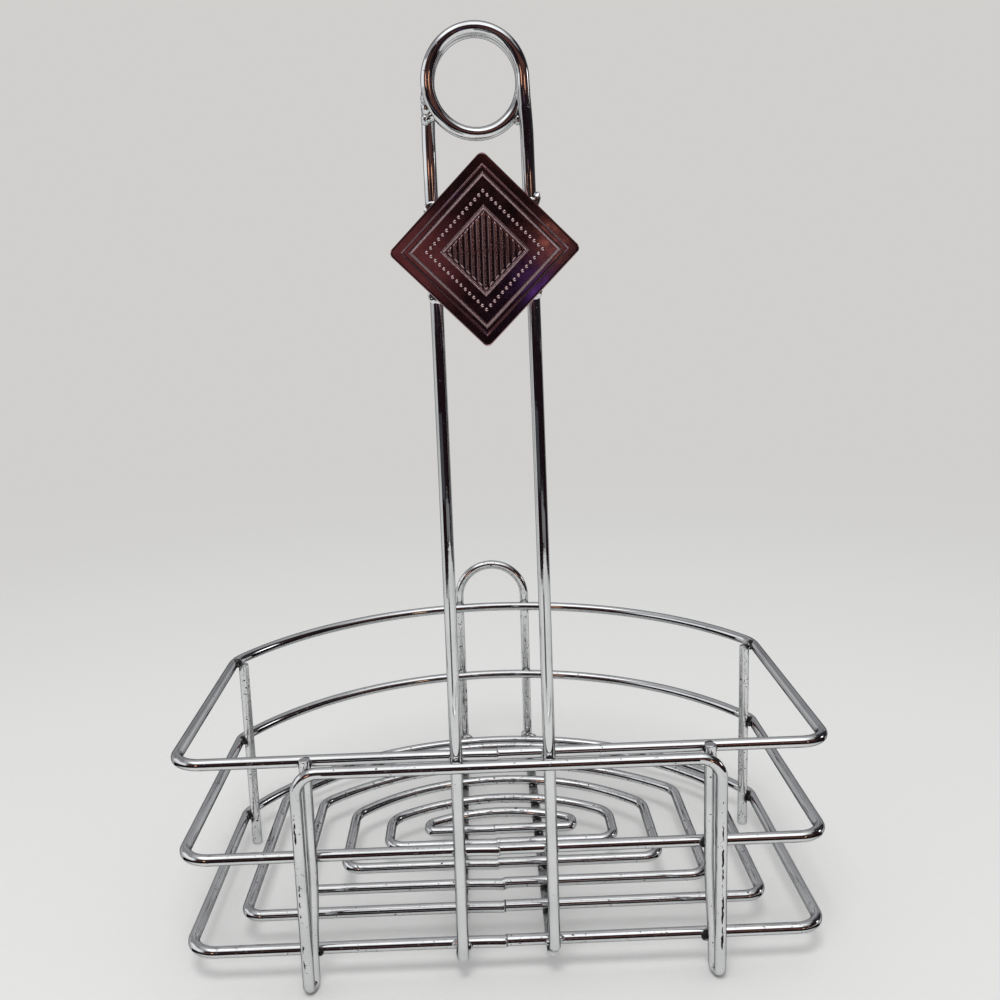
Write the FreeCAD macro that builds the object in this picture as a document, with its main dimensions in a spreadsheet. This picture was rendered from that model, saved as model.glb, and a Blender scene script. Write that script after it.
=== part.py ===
import FreeCAD, Part
import math
import os
import Sketcher

# Condiment caddy: a chrome-plated wire rack with three D-shaped rings, a floor of nested D rings,
# a looped carrying handle that holds a diamond badge, and four feet.
# Millimetres, +Z up, the front faces -Y. The origin is on the floor, under the middle of the part.

doc = FreeCAD.newDocument("CondimentCaddy")

# ---------------------------------------------------------------- driving sizes

SIZES = (
    # wire and welds
    ("wire_dia", 4.8, "diameter of every wire"),
    ("weld_gap", 0.2, "gap between two welded wires, bridged by weld metal"),
    ("weld_dia", 3.4, "diameter of a weld spot"),
    ("end_chamfer", 0.4, "broken edge on a cut wire end"),
    # the three rings
    ("ring_width", 266.0, "between the centres of the side wires"),
    ("ring_depth", 204.8, "front wire to the rearmost point, centre to centre"),
    ("ring_back_radius", 150.0, "curved back"),
    ("ring_corner_radius", 9.5, "front corners"),
    ("ring_rear_radius", 12.0, "bend from side to back"),
    ("floor_height", 15.0, "centre of the bottom ring above the table"),
    ("ring_spacing", 41.75, "bottom to middle and middle to top ring"),
    # the floor rings, nested inside the bottom ring: each step is from the ring outside, and the
    # steps and the core share out what the bottom ring spans
    ("step1_side", 18.5, "side wire of the first floor ring"),
    ("step1_front", 26.0, "its front wire"),
    ("step1_back", 8.8, "its rearmost point"),
    ("step1_radius", 8.0, "its curved back, tighter"),
    ("step2_side", 21.0, "second floor ring"),
    ("step2_front", 19.0, "front wire"),
    ("step2_back", 25.5, "rearmost point"),
    ("step2_radius", 12.0, "curved back"),
    ("step3_side", 19.0, "third floor ring"),
    ("step3_front", 17.5, "front wire"),
    ("step3_back", 19.5, "rearmost point"),
    ("step3_radius", 32.5, "curved back"),
    ("step4_side", 19.0, "fourth floor ring"),
    ("step4_front", 19.0, "front wire"),
    ("step4_back", 22.0, "rearmost point"),
    ("step4_radius", 10.5, "curved back"),
    ("step5_side", 19.5, "smallest floor ring"),
    ("step5_front", 14.0, "front wire"),
    ("step5_back", 15.5, "rearmost point"),
    ("step5_radius", 19.0, "curved back"),
    ("core_width", 72.0, "left inside the last side steps"),
    ("core_depth", 18.0, "left between the last front and back steps"),
    ("core_radius", 68.0, "left of the curved back"),
    ("nest_corner_radius", 8.0, "front corners and rear bends of the floor rings"),
    ("core_corner_radius", 3.3, "tight bends of the smallest ring"),
    # rear arch and the two cross wires that it turns into
    ("arch_spacing", 38.0, "between the arch legs, and between the cross wires"),
    ("arch_rise", 24.5, "top of the arch above the top ring, centre to centre"),
    ("cross_overhang", 2.2, "cross wire ends in front of the bottom ring's centre"),
    # rear legs
    ("rear_leg_setback", 1.0, "leg centre in front of the start of the rear bend"),
    ("rear_leg_rise", 0.0, "leg top above the centre of the top ring"),
    ("rear_weld_dia", 2.4, "weld spots of the rear legs"),
    # front frame: rail, front strands, feet and rear strands in one wire
    ("strand_spacing", 169.4, "between the two front strands"),
    ("frame_offset", 2.8, "middle of the front frame to the right of the middle of the rings"),
    ("strand_inset", 3.6, "rear strand nearer to the middle than the front strand"),
    ("strand_rise", 2.8, "rear strand ends above the centre of the top ring"),
    ("rail_drop", 1.0, "rail below the centre of the top ring"),
    ("rail_corner_radius", 9.0, "rail to front strand"),
    # handle
    ("grip_height", 355.4, "centre of the loop above the table"),
    ("grip_radius", 17.25, "loop, centre of the loop to the centre of the wire"),
    ("coil_gap", 0.2, "between neighbouring turns of the loop"),
    ("coil_step", 32.0, "height over which a leg moves into its turn"),
    ("grip_weld_drop", 4.5, "loop welds below the centre of the loop"),
    ("stem_spacing", 38.0, "between the handle legs at their lower ends"),
    ("stem_end", 10.5, "lower ends of the handle legs above the table"),
    # badge
    ("badge_drop", 59.1, "centre of the badge below the centre of the loop"),
    ("badge_side", 50.0, "side of the square plate"),
    ("badge_thick", 1.6, "sheet thickness"),
    ("badge_corner_radius", 3.0, "rounded corners"),
    ("badge_border", 3.2, "width of the raised border"),
    ("badge_relief", 0.5, "border above the field"),
    ("badge_edge", 0.4, "rounded front edge"),
    ("badge_lozenge", 22.0, "side of the raised lozenge in the middle"),
    ("badge_weld_pitch", 30.0, "between the upper and lower weld spots"),
)

sheet = doc.addObject("Spreadsheet::Sheet", "Sizes")
for row, (alias, value, note) in enumerate(SIZES, start=1):
    sheet.set(f"A{row}", alias)
    sheet.set(f"B{row}", str(value))
    sheet.set(f"C{row}", note)
    sheet.setAlias(f"B{row}", alias)
doc.recompute()

# ---------------------------------------------------------------- expressions on the sizes


def cell(alias):
    """Expression that reads one size."""
    return f"Sizes.{alias}"


def number(expression):
    """Present value of an expression, for the first guess of a sketch."""
    result = sheet.evalExpression(expression)
    return float(getattr(result, "Value", result))


WIRE = cell("wire_dia")
WIRE_RADIUS = f"({WIRE} / 2)"
STACK = f"({WIRE} + {cell('weld_gap')})"

# Along Y: what the part reaches in front of and behind the front wire of the rings.
ARCH_X = f"({cell('arch_spacing')} / 2)"
BACK_CENTRE = f"({cell('ring_depth')} - {cell('ring_back_radius')})"
ARCH_BEHIND = f"({BACK_CENTRE} + sqrt({cell('ring_back_radius')}^2 - {ARCH_X}^2) + {STACK})"
FRONT_REACH = f"(2 * {STACK} + {WIRE_RADIUS})"
FRONT_Y = f"(({FRONT_REACH} - {ARCH_BEHIND} - {WIRE_RADIUS}) / 2)"

# Along Z.
LOW = cell("floor_height")
MIDDLE = f"({LOW} + {cell('ring_spacing')})"
HIGH = f"({LOW} + 2 * {cell('ring_spacing')})"
LEVELS = (LOW, MIDDLE, HIGH)
CROSS_Z = f"({LOW} - {STACK})"

# Layers in front of the rings: handle legs and rear strands first, then rail and front strands.
STEM_Y = f"({FRONT_Y} - {STACK})"
RAIL_Y = f"({FRONT_Y} - 2 * {STACK})"
ARCH_Y = f"({FRONT_Y} + {ARCH_BEHIND})"

# Name and sign of X of each side.
SIDES = (("left", "-1"), ("right", "1"))

# ---------------------------------------------------------------- helpers


def new_body(label):
    body = doc.addObject("PartDesign::Body", label)
    body.Label = label
    return body


def new_sketch(body, name, role, lift="0"):
    """Sketch on one of the body's own origin planes, lifted along the plane's normal."""
    sketch = body.newObject("Sketcher::SketchObject", name)
    plane = next(item for item in body.Origin.OriginFeatures if item.Role == role)
    sketch.AttachmentSupport = (plane, [""])
    sketch.MapMode = "FlatFace"
    sketch.setExpression("AttachmentOffset.Base.z", lift)
    return sketch


def size_constraint(sketch, kind, *places, size):
    """Dimension of a sketch, bound to an expression."""
    index = sketch.addConstraint(Sketcher.Constraint(kind, *places, number(size)))
    sketch.setExpression(f"Constraints[{index}]", size)


def place_point(sketch, geometry, position, x, y):
    """Fix one point of a sketch at two signed distances from the origin of the sketch."""
    for kind, distance in (("DistanceX", x), ("DistanceY", y)):
        size_constraint(sketch, kind, -1, 1, geometry, position, size=distance)


def wire_profile(body, name, role, x, y, lift="0"):
    """Round section of the wire."""
    sketch = new_sketch(body, name, role, lift)
    centre = FreeCAD.Vector(number(x), number(y), 0)
    circle = Part.Circle(centre, FreeCAD.Vector(0, 0, 1), number(WIRE_RADIUS))
    sketch.addGeometry(circle, False)
    size_constraint(sketch, "Diameter", 0, size=WIRE)
    place_point(sketch, 0, 3, x, y)
    return sketch


def pipe(body, name, profile, path):
    """Wire bent along every edge of the path sketch, in the order drawn."""
    feature = body.newObject("PartDesign::AdditivePipe", name)
    feature.Profile = (profile, [""])
    feature.Spine = (path, [f"Edge{edge + 1}" for edge in range(path.GeometryCount)])
    return feature


def break_ends(body, feature):
    """Small chamfer on the flat cut ends of a wire."""
    doc.recompute()
    flat = []
    for place, face in enumerate(feature.Shape.Faces, start=1):
        if face.Surface.TypeId == "Part::GeomPlane":
            flat.append(f"Face{place}")
    chamfer = body.newObject("PartDesign::Chamfer", f"{body.Name}_ends")
    chamfer.Base = (feature, flat)
    chamfer.setExpression("Size", cell("end_chamfer"))


def arc(cx, cy, radius, start, end):
    """Counter-clockwise arc, angles in degrees."""
    circle = Part.Circle(FreeCAD.Vector(cx, cy, 0), FreeCAD.Vector(0, 0, 1), radius)
    return Part.ArcOfCircle(circle, math.radians(start), math.radians(end))


def segment(x1, y1, x2, y2):
    return Part.LineSegment(FreeCAD.Vector(x1, y1, 0), FreeCAD.Vector(x2, y2, 0))


# ---------------------------------------------------------------- D rings


def d_ring(label, level, width, front, back, back_radius, corner_radius, rear_radius):
    """Closed D-shaped wire whose two ends meet in the middle of the front."""
    body = new_body(label)
    path = new_sketch(body, f"{label}_path", "XY_Plane", level)
    half = f"({width} / 2)"
    centre = f"({back} - {back_radius})"
    rise = f"sqrt(({back_radius} - {rear_radius})^2 - ({half} - {rear_radius})^2)"
    w, y0, c = number(half), number(front), number(corner_radius)
    big, small, mid = number(back_radius), number(rear_radius), number(centre)
    side = number(f"{centre} + {rise}")
    swing = number(f"acos(({half} - {rear_radius}) / ({back_radius} - {rear_radius}))")
    path.addGeometry([
        segment(0, y0, w - c, y0),
        arc(w - c, y0 + c, c, 270, 360),
        segment(w, y0 + c, w, side),
        arc(w - small, side, small, 0, swing),
        arc(0, mid, big, swing, 180 - swing),
        arc(small - w, side, small, 180 - swing, 180),
        segment(-w, side, -w, y0 + c),
        arc(c - w, y0 + c, c, 180, 270),
        segment(c - w, y0, 0, y0),
    ], False)
    # Edges in order along the wire, with the end of each that meets the next.
    joints = ((0, 2, 1, 1), (1, 2, 2, 1), (2, 2, 3, 1), (3, 2, 4, 1),
              (4, 2, 5, 1), (5, 2, 6, 1), (6, 2, 7, 1), (7, 2, 8, 1))
    for first, first_end, second, second_end in joints:
        path.addConstraint(Sketcher.Constraint("Tangent", first, first_end, second, second_end))
    path.addConstraint(Sketcher.Constraint("Coincident", 8, 2, 0, 1))
    path.addConstraint(Sketcher.Constraint("Horizontal", 0))
    path.addConstraint(Sketcher.Constraint("Horizontal", 8))
    path.addConstraint(Sketcher.Constraint("Vertical", 2))
    path.addConstraint(Sketcher.Constraint("Vertical", 6))
    path.addConstraint(Sketcher.Constraint("PointOnObject", 0, 1, -2))
    path.addConstraint(Sketcher.Constraint("PointOnObject", 4, 3, -2))
    path.addConstraint(Sketcher.Constraint("Equal", 1, 7))
    path.addConstraint(Sketcher.Constraint("Equal", 3, 5))
    size_constraint(path, "DistanceY", -1, 1, 0, 1, size=front)
    size_constraint(path, "DistanceX", -1, 1, 2, 1, size=half)
    size_constraint(path, "DistanceX", 6, 1, 2, 2, size=width)
    size_constraint(path, "DistanceY", -1, 1, 4, 3, size=centre)
    size_constraint(path, "Radius", 4, size=back_radius)
    size_constraint(path, "Radius", 1, size=corner_radius)
    size_constraint(path, "Radius", 3, size=rear_radius)
    profile = wire_profile(body, f"{label}_section", "YZ_Plane", front, level)
    pipe(body, f"{label}_wire", profile, path)
    return body


def behind_front(expression):
    return f"({FRONT_Y} + {expression})"


rings = []
for ring_label, ring_level in zip(("bottom_ring", "middle_ring", "top_ring"), LEVELS):
    rings.append(d_ring(ring_label, ring_level, cell("ring_width"), FRONT_Y,
                        behind_front(cell("ring_depth")), cell("ring_back_radius"),
                        cell("ring_corner_radius"), cell("ring_rear_radius")))

NEST_COUNT = 5


def steps(kind, count):
    """Sum of the first steps of one kind, from the bottom ring inwards."""
    return "(" + " + ".join(cell(f"step{place + 1}_{kind}") for place in range(count)) + ")"


SIDE_SUM = f"({steps('side', NEST_COUNT)} + {cell('core_width')} / 2)"
DEPTH_SUM = f"({steps('front', NEST_COUNT)} + {cell('core_depth')} + {steps('back', NEST_COUNT)})"
RADIUS_SUM = f"({steps('radius', NEST_COUNT)} + {cell('core_radius')})"

nest_rings = []
nest_wires = []
for count in range(1, NEST_COUNT + 1):
    nest_width = f"({cell('ring_width')} * (1 - {steps('side', count)} / {SIDE_SUM}))"
    nest_front = behind_front(f"{cell('ring_depth')} * {steps('front', count)} / {DEPTH_SUM}")
    nest_back = behind_front(f"{cell('ring_depth')} * (1 - {steps('back', count)} / {DEPTH_SUM})")
    nest_radius = f"({cell('ring_back_radius')} * (1 - {steps('radius', count)} / {RADIUS_SUM}))"
    bend = cell("core_corner_radius") if count == NEST_COUNT else cell("nest_corner_radius")
    nest_rings.append(d_ring(f"floor_ring_{count}", LOW, nest_width, nest_front, nest_back,
                             nest_radius, bend, bend))
    nest_wires.append((nest_front, nest_back, nest_radius))

# ---------------------------------------------------------------- rear arch with cross wires
# Each leg turns forward round the back wire of the bottom ring, so its bend follows that wire.

arch = new_body("rear_arch")
ARCH_SPRING = f"({HIGH} + {cell('arch_rise')} - {ARCH_X})"
CROSS_END = f"({FRONT_Y} - {cell('cross_overhang')})"
for side_name, side_sign in SIDES:
    side_x = f"({side_sign} * {ARCH_X})"
    path = new_sketch(arch, f"arch_path_{side_name}", "YZ_Plane", side_x)
    y_end, z_low = number(CROSS_END), number(CROSS_Z)
    y_back, z_top, bend_r = number(ARCH_Y), number(ARCH_SPRING), number(STACK)
    path.addGeometry([
        segment(y_end, z_low, y_back - bend_r, z_low),
        arc(y_back - bend_r, z_low + bend_r, bend_r, 270, 360),
        segment(y_back, z_low + bend_r, y_back, z_top),
    ], False)
    path.addConstraint(Sketcher.Constraint("Tangent", 0, 2, 1, 1))
    path.addConstraint(Sketcher.Constraint("Tangent", 1, 2, 2, 1))
    path.addConstraint(Sketcher.Constraint("Horizontal", 0))
    path.addConstraint(Sketcher.Constraint("Vertical", 2))
    size_constraint(path, "Radius", 1, size=STACK)
    place_point(path, 0, 1, CROSS_END, CROSS_Z)
    place_point(path, 2, 2, ARCH_Y, ARCH_SPRING)
    profile = wire_profile(arch, f"arch_section_{side_name}", "XZ_Plane", side_x, CROSS_Z,
                           f"-1 * {CROSS_END}")
    pipe(arch, f"arch_leg_{side_name}", profile, path)

crown = wire_profile(arch, "arch_crown_section", "XY_Plane", f"(-1 * {ARCH_X})", ARCH_Y,
                     ARCH_SPRING)
arch_top = arch.newObject("PartDesign::Revolution", "arch_crown")
arch_top.Profile = (crown, [""])
arch_top.ReferenceAxis = (crown, ["V_Axis"])
arch_top.Angle = 180
break_ends(arch, arch_top)

# ---------------------------------------------------------------- rear legs

REAR_RISE = (f"sqrt(({cell('ring_back_radius')} - {cell('ring_rear_radius')})^2"
             f" - ({cell('ring_width')} / 2 - {cell('ring_rear_radius')})^2)")
REAR_BEND_Y = behind_front(f"{BACK_CENTRE} + {REAR_RISE}")
REAR_LEG_Y = f"({REAR_BEND_Y} - {cell('rear_leg_setback')})"
REAR_LEG_X = f"({cell('ring_width')} / 2 - {STACK})"
for side_name, side_sign in SIDES:
    leg = new_body(f"rear_leg_{side_name}")
    section = wire_profile(leg, f"rear_leg_section_{side_name}", "XY_Plane",
                           f"({side_sign} * {REAR_LEG_X})", REAR_LEG_Y)
    rod = leg.newObject("PartDesign::Pad", f"rear_leg_rod_{side_name}")
    rod.Profile = (section, [""])
    rod.setExpression("Length", f"{HIGH} + {cell('rear_leg_rise')}")
    break_ends(leg, rod)

# ---------------------------------------------------------------- front frame

frame = new_body("front_frame")
STRAND_X = {name: f"({cell('frame_offset')} + {sign} * {cell('strand_spacing')} / 2)"
            for name, sign in SIDES}
REAR_STRAND_X = {name: f"({STRAND_X[name]} - {sign} * {cell('strand_inset')})"
                 for name, sign in SIDES}
FOOT_RADIUS = f"(sqrt({cell('strand_inset')}^2 + {STACK}^2) / 2)"
FOOT_TURN = f"atan({STACK} / {cell('strand_inset')})"
RAIL_Z = f"({HIGH} - {cell('rail_drop')})"
STRAND_TOP = f"({HIGH} + {cell('strand_rise')})"
SPLIT_Z = LOW

rail_path = new_sketch(frame, "rail_path", "XZ_Plane", f"-1 * {RAIL_Y}")
left_x, right_x = number(STRAND_X["left"]), number(STRAND_X["right"])
split, rz = number(SPLIT_Z), number(RAIL_Z)
rc = number(cell("rail_corner_radius"))
rail_path.addGeometry([
    segment(left_x, split, left_x, rz - rc),
    arc(left_x + rc, rz - rc, rc, 90, 180),
    segment(left_x + rc, rz, right_x - rc, rz),
    arc(right_x - rc, rz - rc, rc, 0, 90),
    segment(right_x, rz - rc, right_x, split),
], False)
for first, first_end, second, second_end in ((0, 2, 1, 2), (1, 1, 2, 1), (2, 2, 3, 2), (3, 1, 4, 1)):
    rail_path.addConstraint(Sketcher.Constraint("Tangent", first, first_end, second, second_end))
for upright in (0, 4):
    rail_path.addConstraint(Sketcher.Constraint("Vertical", upright))
rail_path.addConstraint(Sketcher.Constraint("Horizontal", 2))
rail_path.addConstraint(Sketcher.Constraint("Equal", 1, 3))
size_constraint(rail_path, "Radius", 1, size=cell("rail_corner_radius"))
place_point(rail_path, 0, 1, STRAND_X["left"], SPLIT_Z)
place_point(rail_path, 4, 2, STRAND_X["right"], SPLIT_Z)
size_constraint(rail_path, "DistanceY", -1, 1, 2, 1, size=RAIL_Z)
rail_section = wire_profile(frame, "rail_section", "XY_Plane", STRAND_X["left"], RAIL_Y, SPLIT_Z)
pipe(frame, "rail", rail_section, rail_path)

# Each foot is a tight U in the upright plane through its two strands.
for side_name, side_sign in SIDES:
    path = new_sketch(frame, f"foot_path_{side_name}", "XZ_Plane", f"-1 * {RAIL_Y}")
    turn = f"({side_sign} * (180 deg - {FOOT_TURN}))"
    path.AttachmentOffset = FreeCAD.Placement(
        FreeCAD.Vector(), FreeCAD.Rotation(FreeCAD.Vector(0, 1, 0), 90))
    path.setExpression("AttachmentOffset.Base.x", STRAND_X[side_name])
    path.setExpression("AttachmentOffset.Rotation.Angle", turn)
    fr, top_z = number(FOOT_RADIUS), number(STRAND_TOP)
    dip = number(f"{WIRE_RADIUS} + {FOOT_RADIUS}")
    # Towards the rear strand is the sketch's +X on the right-hand foot and -X on the left.
    way = int(side_sign)
    ends = (1, 2) if way > 0 else (2, 1)
    path.addGeometry([
        segment(0, split, 0, dip),
        arc(fr * way, dip, fr, 180, 360),
        segment(2 * fr * way, dip, 2 * fr * way, top_z),
    ], False)
    path.addConstraint(Sketcher.Constraint("Tangent", 0, 2, 1, ends[0]))
    path.addConstraint(Sketcher.Constraint("Tangent", 1, ends[1], 2, 1))
    path.addConstraint(Sketcher.Constraint("Vertical", 0))
    path.addConstraint(Sketcher.Constraint("Vertical", 2))
    size_constraint(path, "Radius", 1, size=FOOT_RADIUS)
    size_constraint(path, "DistanceY", -1, 1, 1, 3, size=f"{WIRE_RADIUS} + {FOOT_RADIUS}")
    path.addConstraint(Sketcher.Constraint("PointOnObject", 0, 1, -2))
    size_constraint(path, "DistanceY", -1, 1, 0, 1, size=SPLIT_Z)
    size_constraint(path, "DistanceY", -1, 1, 2, 2, size=STRAND_TOP)
    section = wire_profile(frame, f"foot_section_{side_name}", "XY_Plane",
                           STRAND_X[side_name], RAIL_Y, SPLIT_Z)
    foot = pipe(frame, f"foot_{side_name}", section, path)
break_ends(frame, foot)

# ---------------------------------------------------------------- handle
# One wire: up the left leg, over the back of the loop, round underneath, over the front of the
# loop and down the right leg.

handle = new_body("handle")
GRIP_Z = cell("grip_height")
GRIP_X = cell("grip_radius")
HALF_COIL = f"(({WIRE} + {cell('coil_gap')}) / 2)"
STEM_LENGTH = f"({GRIP_Z} - {cell('stem_end')})"
STEM_SPREAD = f"(({cell('stem_spacing')} / 2 - {GRIP_X}) / {STEM_LENGTH})"
BACK_TURN_Y = f"({STEM_Y} + {HALF_COIL})"
FRONT_TURN_Y = f"({STEM_Y} - {HALF_COIL})"
STEP_RADIUS = f"(({cell('coil_step')}^2 + {HALF_COIL}^2) / (4 * {HALF_COIL}))"


def stem_x(level):
    """Half the distance between the handle legs at a height."""
    return f"({GRIP_X} + ({GRIP_Z} - {level}) * {STEM_SPREAD})"


def half_turn(name, section, axis):
    feature = handle.newObject("PartDesign::Revolution", name)
    feature.Profile = (section, [""])
    feature.ReferenceAxis = (section, [axis])
    feature.Angle = 180
    return feature


for side_name, side_sign, top_y in (("left", -1, BACK_TURN_Y), ("right", 1, FRONT_TURN_Y)):
    path = new_sketch(handle, f"stem_path_{side_name}", "YZ_Plane", f"{side_sign} * {GRIP_X}")
    path.AttachmentOffset = FreeCAD.Placement(
        FreeCAD.Vector(), FreeCAD.Rotation(FreeCAD.Vector(1, 0, 0), 1))
    path.setExpression("AttachmentOffset.Base.y", GRIP_Z)
    path.setExpression("AttachmentOffset.Rotation.Angle", f"{-side_sign} * atan({STEM_SPREAD})")
    stem_y, start_y, bend = number(STEM_Y), number(top_y), number(STEP_RADIUS)
    step, length = number(cell("coil_step")), number(STEM_LENGTH)
    lean = math.degrees(math.asin(step / 2 / bend))
    # The leg leaves its turn upright and comes back to the plane of the legs in two equal arcs.
    if side_sign < 0:
        arcs = [arc(start_y - bend, 0, bend, -lean, 0), arc(stem_y + bend, -step, bend, 180 - lean, 180)]
    else:
        arcs = [arc(start_y + bend, 0, bend, 180, 180 + lean), arc(stem_y - bend, -step, bend, 0, lean)]
    upper, lower = ((2, 1), (1, 2)) if side_sign < 0 else ((1, 2), (2, 1))
    path.addGeometry(arcs + [segment(stem_y, -step, stem_y, -length)], False)
    path.addConstraint(Sketcher.Constraint("Tangent", 0, upper[1], 1, lower[0]))
    path.addConstraint(Sketcher.Constraint("Tangent", 1, lower[1], 2, 1))
    path.addConstraint(Sketcher.Constraint("Equal", 0, 1))
    path.addConstraint(Sketcher.Constraint("Vertical", 2))
    size_constraint(path, "Radius", 0, size=STEP_RADIUS)
    size_constraint(path, "DistanceX", -1, 1, 0, upper[0], size=top_y)
    path.addConstraint(Sketcher.Constraint("PointOnObject", 0, upper[0], -1))
    path.addConstraint(Sketcher.Constraint("PointOnObject", 0, 3, -1))
    size_constraint(path, "DistanceX", -1, 1, 2, 2, size=STEM_Y)
    size_constraint(path, "DistanceY", 2, 2, -1, 1,
                    size=f"{STEM_LENGTH} * sqrt(1 + {STEM_SPREAD}^2)")
    section = wire_profile(handle, f"stem_section_{side_name}", "XY_Plane",
                           f"({side_sign} * {GRIP_X})", top_y, GRIP_Z)
    pipe(handle, f"stem_{side_name}", section, path)
    if side_sign < 0:
        half_turn("back_turn", section, "V_Axis")
        # Half a turn underneath, on an axis swung so that it ends one wire further forward.
        under = wire_profile(handle, "under_section", "XY_Plane", GRIP_X, BACK_TURN_Y, GRIP_Z)
        under.addGeometry(segment(0, number(STEM_Y), -number(HALF_COIL),
                                  number(f"{STEM_Y} + {GRIP_X}")), True)
        place_point(under, 1, 1, "0", STEM_Y)
        place_point(under, 1, 2, f"(-1 * {HALF_COIL})", f"({STEM_Y} + {GRIP_X})")
        half_turn("under_turn", under, "Axis0")
        front = wire_profile(handle, "front_section", "XY_Plane", f"(-1 * {GRIP_X})",
                             FRONT_TURN_Y, GRIP_Z)
        last = half_turn("front_turn", front, "V_Axis")
    else:
        last = handle.Tip
break_ends(handle, last)

# ---------------------------------------------------------------- badge

badge = new_body("badge")
BADGE_Z = f"({GRIP_Z} - {cell('badge_drop')})"
BADGE_BACK = f"({STEM_Y} - {WIRE_RADIUS} - {cell('weld_gap')})"
BADGE_FRONT = f"({BADGE_BACK} - {cell('badge_thick')})"


def lozenge(name, face_y, side, corner):
    """Square with rounded corners, standing on one corner, in an upright plane."""
    sketch = new_sketch(badge, name, "XZ_Plane", f"-1 * {face_y}")
    sketch.AttachmentOffset = FreeCAD.Placement(
        FreeCAD.Vector(), FreeCAD.Rotation(FreeCAD.Vector(0, 0, 1), 45))
    sketch.setExpression("AttachmentOffset.Base.y", BADGE_Z)
    a, r = number(side) / 2, number(corner)
    sketch.addGeometry([
        segment(r - a, -a, a - r, -a), arc(a - r, r - a, r, 270, 360),
        segment(a, r - a, a, a - r), arc(a - r, a - r, r, 0, 90),
        segment(a - r, a, r - a, a), arc(r - a, a - r, r, 90, 180),
        segment(-a, a - r, -a, r - a), arc(r - a, r - a, r, 180, 270),
    ], False)
    for edge in range(8):
        sketch.addConstraint(Sketcher.Constraint("Tangent", edge, 2, (edge + 1) % 8, 1))
    for edge in (0, 4):
        sketch.addConstraint(Sketcher.Constraint("Horizontal", edge))
    for edge in (2, 6):
        sketch.addConstraint(Sketcher.Constraint("Vertical", edge))
    for edge in (3, 5, 7):
        sketch.addConstraint(Sketcher.Constraint("Equal", 1, edge))
    size_constraint(sketch, "Radius", 1, size=corner)
    size_constraint(sketch, "DistanceX", -1, 1, 2, 1, size=f"({side} / 2)")
    size_constraint(sketch, "DistanceX", 6, 1, -1, 1, size=f"({side} / 2)")
    size_constraint(sketch, "DistanceY", -1, 1, 4, 1, size=f"({side} / 2)")
    size_constraint(sketch, "DistanceY", 0, 1, -1, 1, size=f"({side} / 2)")
    return sketch


plate = badge.newObject("PartDesign::Pad", "badge_plate")
plate.Profile = (lozenge("badge_outline", BADGE_BACK, cell("badge_side"),
                         cell("badge_corner_radius")), [""])
plate.setExpression("Length", cell("badge_thick"))
doc.recompute()
front_face = min(range(len(plate.Shape.Faces)),
                 key=lambda place: plate.Shape.Faces[place].CenterOfMass.y)
rounded = badge.newObject("PartDesign::Fillet", "badge_front_edge")
rounded.Base = (plate, [f"Face{front_face + 1}"])
rounded.setExpression("Radius", cell("badge_edge"))
field = badge.newObject("PartDesign::Pocket", "badge_field")
field.Profile = (lozenge("badge_field_outline", BADGE_FRONT,
                         f"({cell('badge_side')} - 2 * {cell('badge_border')})",
                         f"({cell('badge_corner_radius')} / 2)"), [""])
field.setExpression("Length", cell("badge_relief"))
centre_pad = badge.newObject("PartDesign::Pad", "badge_lozenge")
centre_pad.Profile = (lozenge("badge_lozenge_outline",
                              f"({BADGE_FRONT} + {cell('badge_relief')})",
                              cell("badge_lozenge"), f"({cell('badge_corner_radius')} / 2)"), [""])
centre_pad.setExpression("Length", cell("badge_relief"))
doc.recompute()

# ---------------------------------------------------------------- weld spots
# A spot is a short round bar along the line between two wire centres, cut by both wires.

AXIS_TURNS = {
    "X": FreeCAD.Rotation(FreeCAD.Vector(0, 1, 0), 90),
    "Y": FreeCAD.Rotation(FreeCAD.Vector(1, 0, 0), -90),
    "Z": FreeCAD.Rotation(),
}


def weld_spots(label, spots, wires, diameter, length):
    """Weld metal between wires. Each spot has an axis and the place where its bar starts."""
    bars = []
    for count, (axis, *start) in enumerate(spots, start=1):
        bar = doc.addObject("Part::Cylinder", f"{label}_bar_{count}")
        bar.Placement = FreeCAD.Placement(FreeCAD.Vector(), AXIS_TURNS[axis])
        for letter, distance in zip("xyz", start):
            bar.setExpression(f"Placement.Base.{letter}", distance)
        bar.setExpression("Radius", f"{diameter} / 2")
        bar.setExpression("Height", length)
        bars.append(bar)
    group = doc.addObject("Part::Compound", f"{label}_bars")
    group.Links = bars
    cutter = doc.addObject("Part::Compound", f"{label}_wires")
    cutter.Links = wires
    metal = doc.addObject("Part::Cut", label)
    metal.Label = label
    metal.Base = group
    metal.Tool = cutter
    return metal


def both_sides(axis, x, y, level):
    """The same spot on the left and on the right."""
    return [(axis, f"(-1 * {x})", y, level), (axis, x, y, level)]


def back_wire_y(back, radius):
    """Where the curved back of a ring crosses a cross wire."""
    return f"({back} - {radius} + sqrt({radius}^2 - {ARCH_X}^2))"


SPOT = cell("weld_dia")
stem_spots = []
strand_spots = []
arch_spots = []
for level in LEVELS:
    stem_spots += both_sides("Y", stem_x(level), STEM_Y, level)
    strand_spots += [("Y", REAR_STRAND_X[name], STEM_Y, level) for name, sign in SIDES]
    arch_spots += both_sides("Y", ARCH_X, f"({ARCH_Y} - {STACK})", level)

floor_spots = both_sides("Z", ARCH_X, FRONT_Y, CROSS_Z)
for nest_front, nest_back, nest_radius in nest_wires:
    floor_spots += both_sides("Z", ARCH_X, nest_front, CROSS_Z)
    floor_spots += both_sides("Z", ARCH_X, back_wire_y(nest_back, nest_radius), CROSS_Z)

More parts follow.
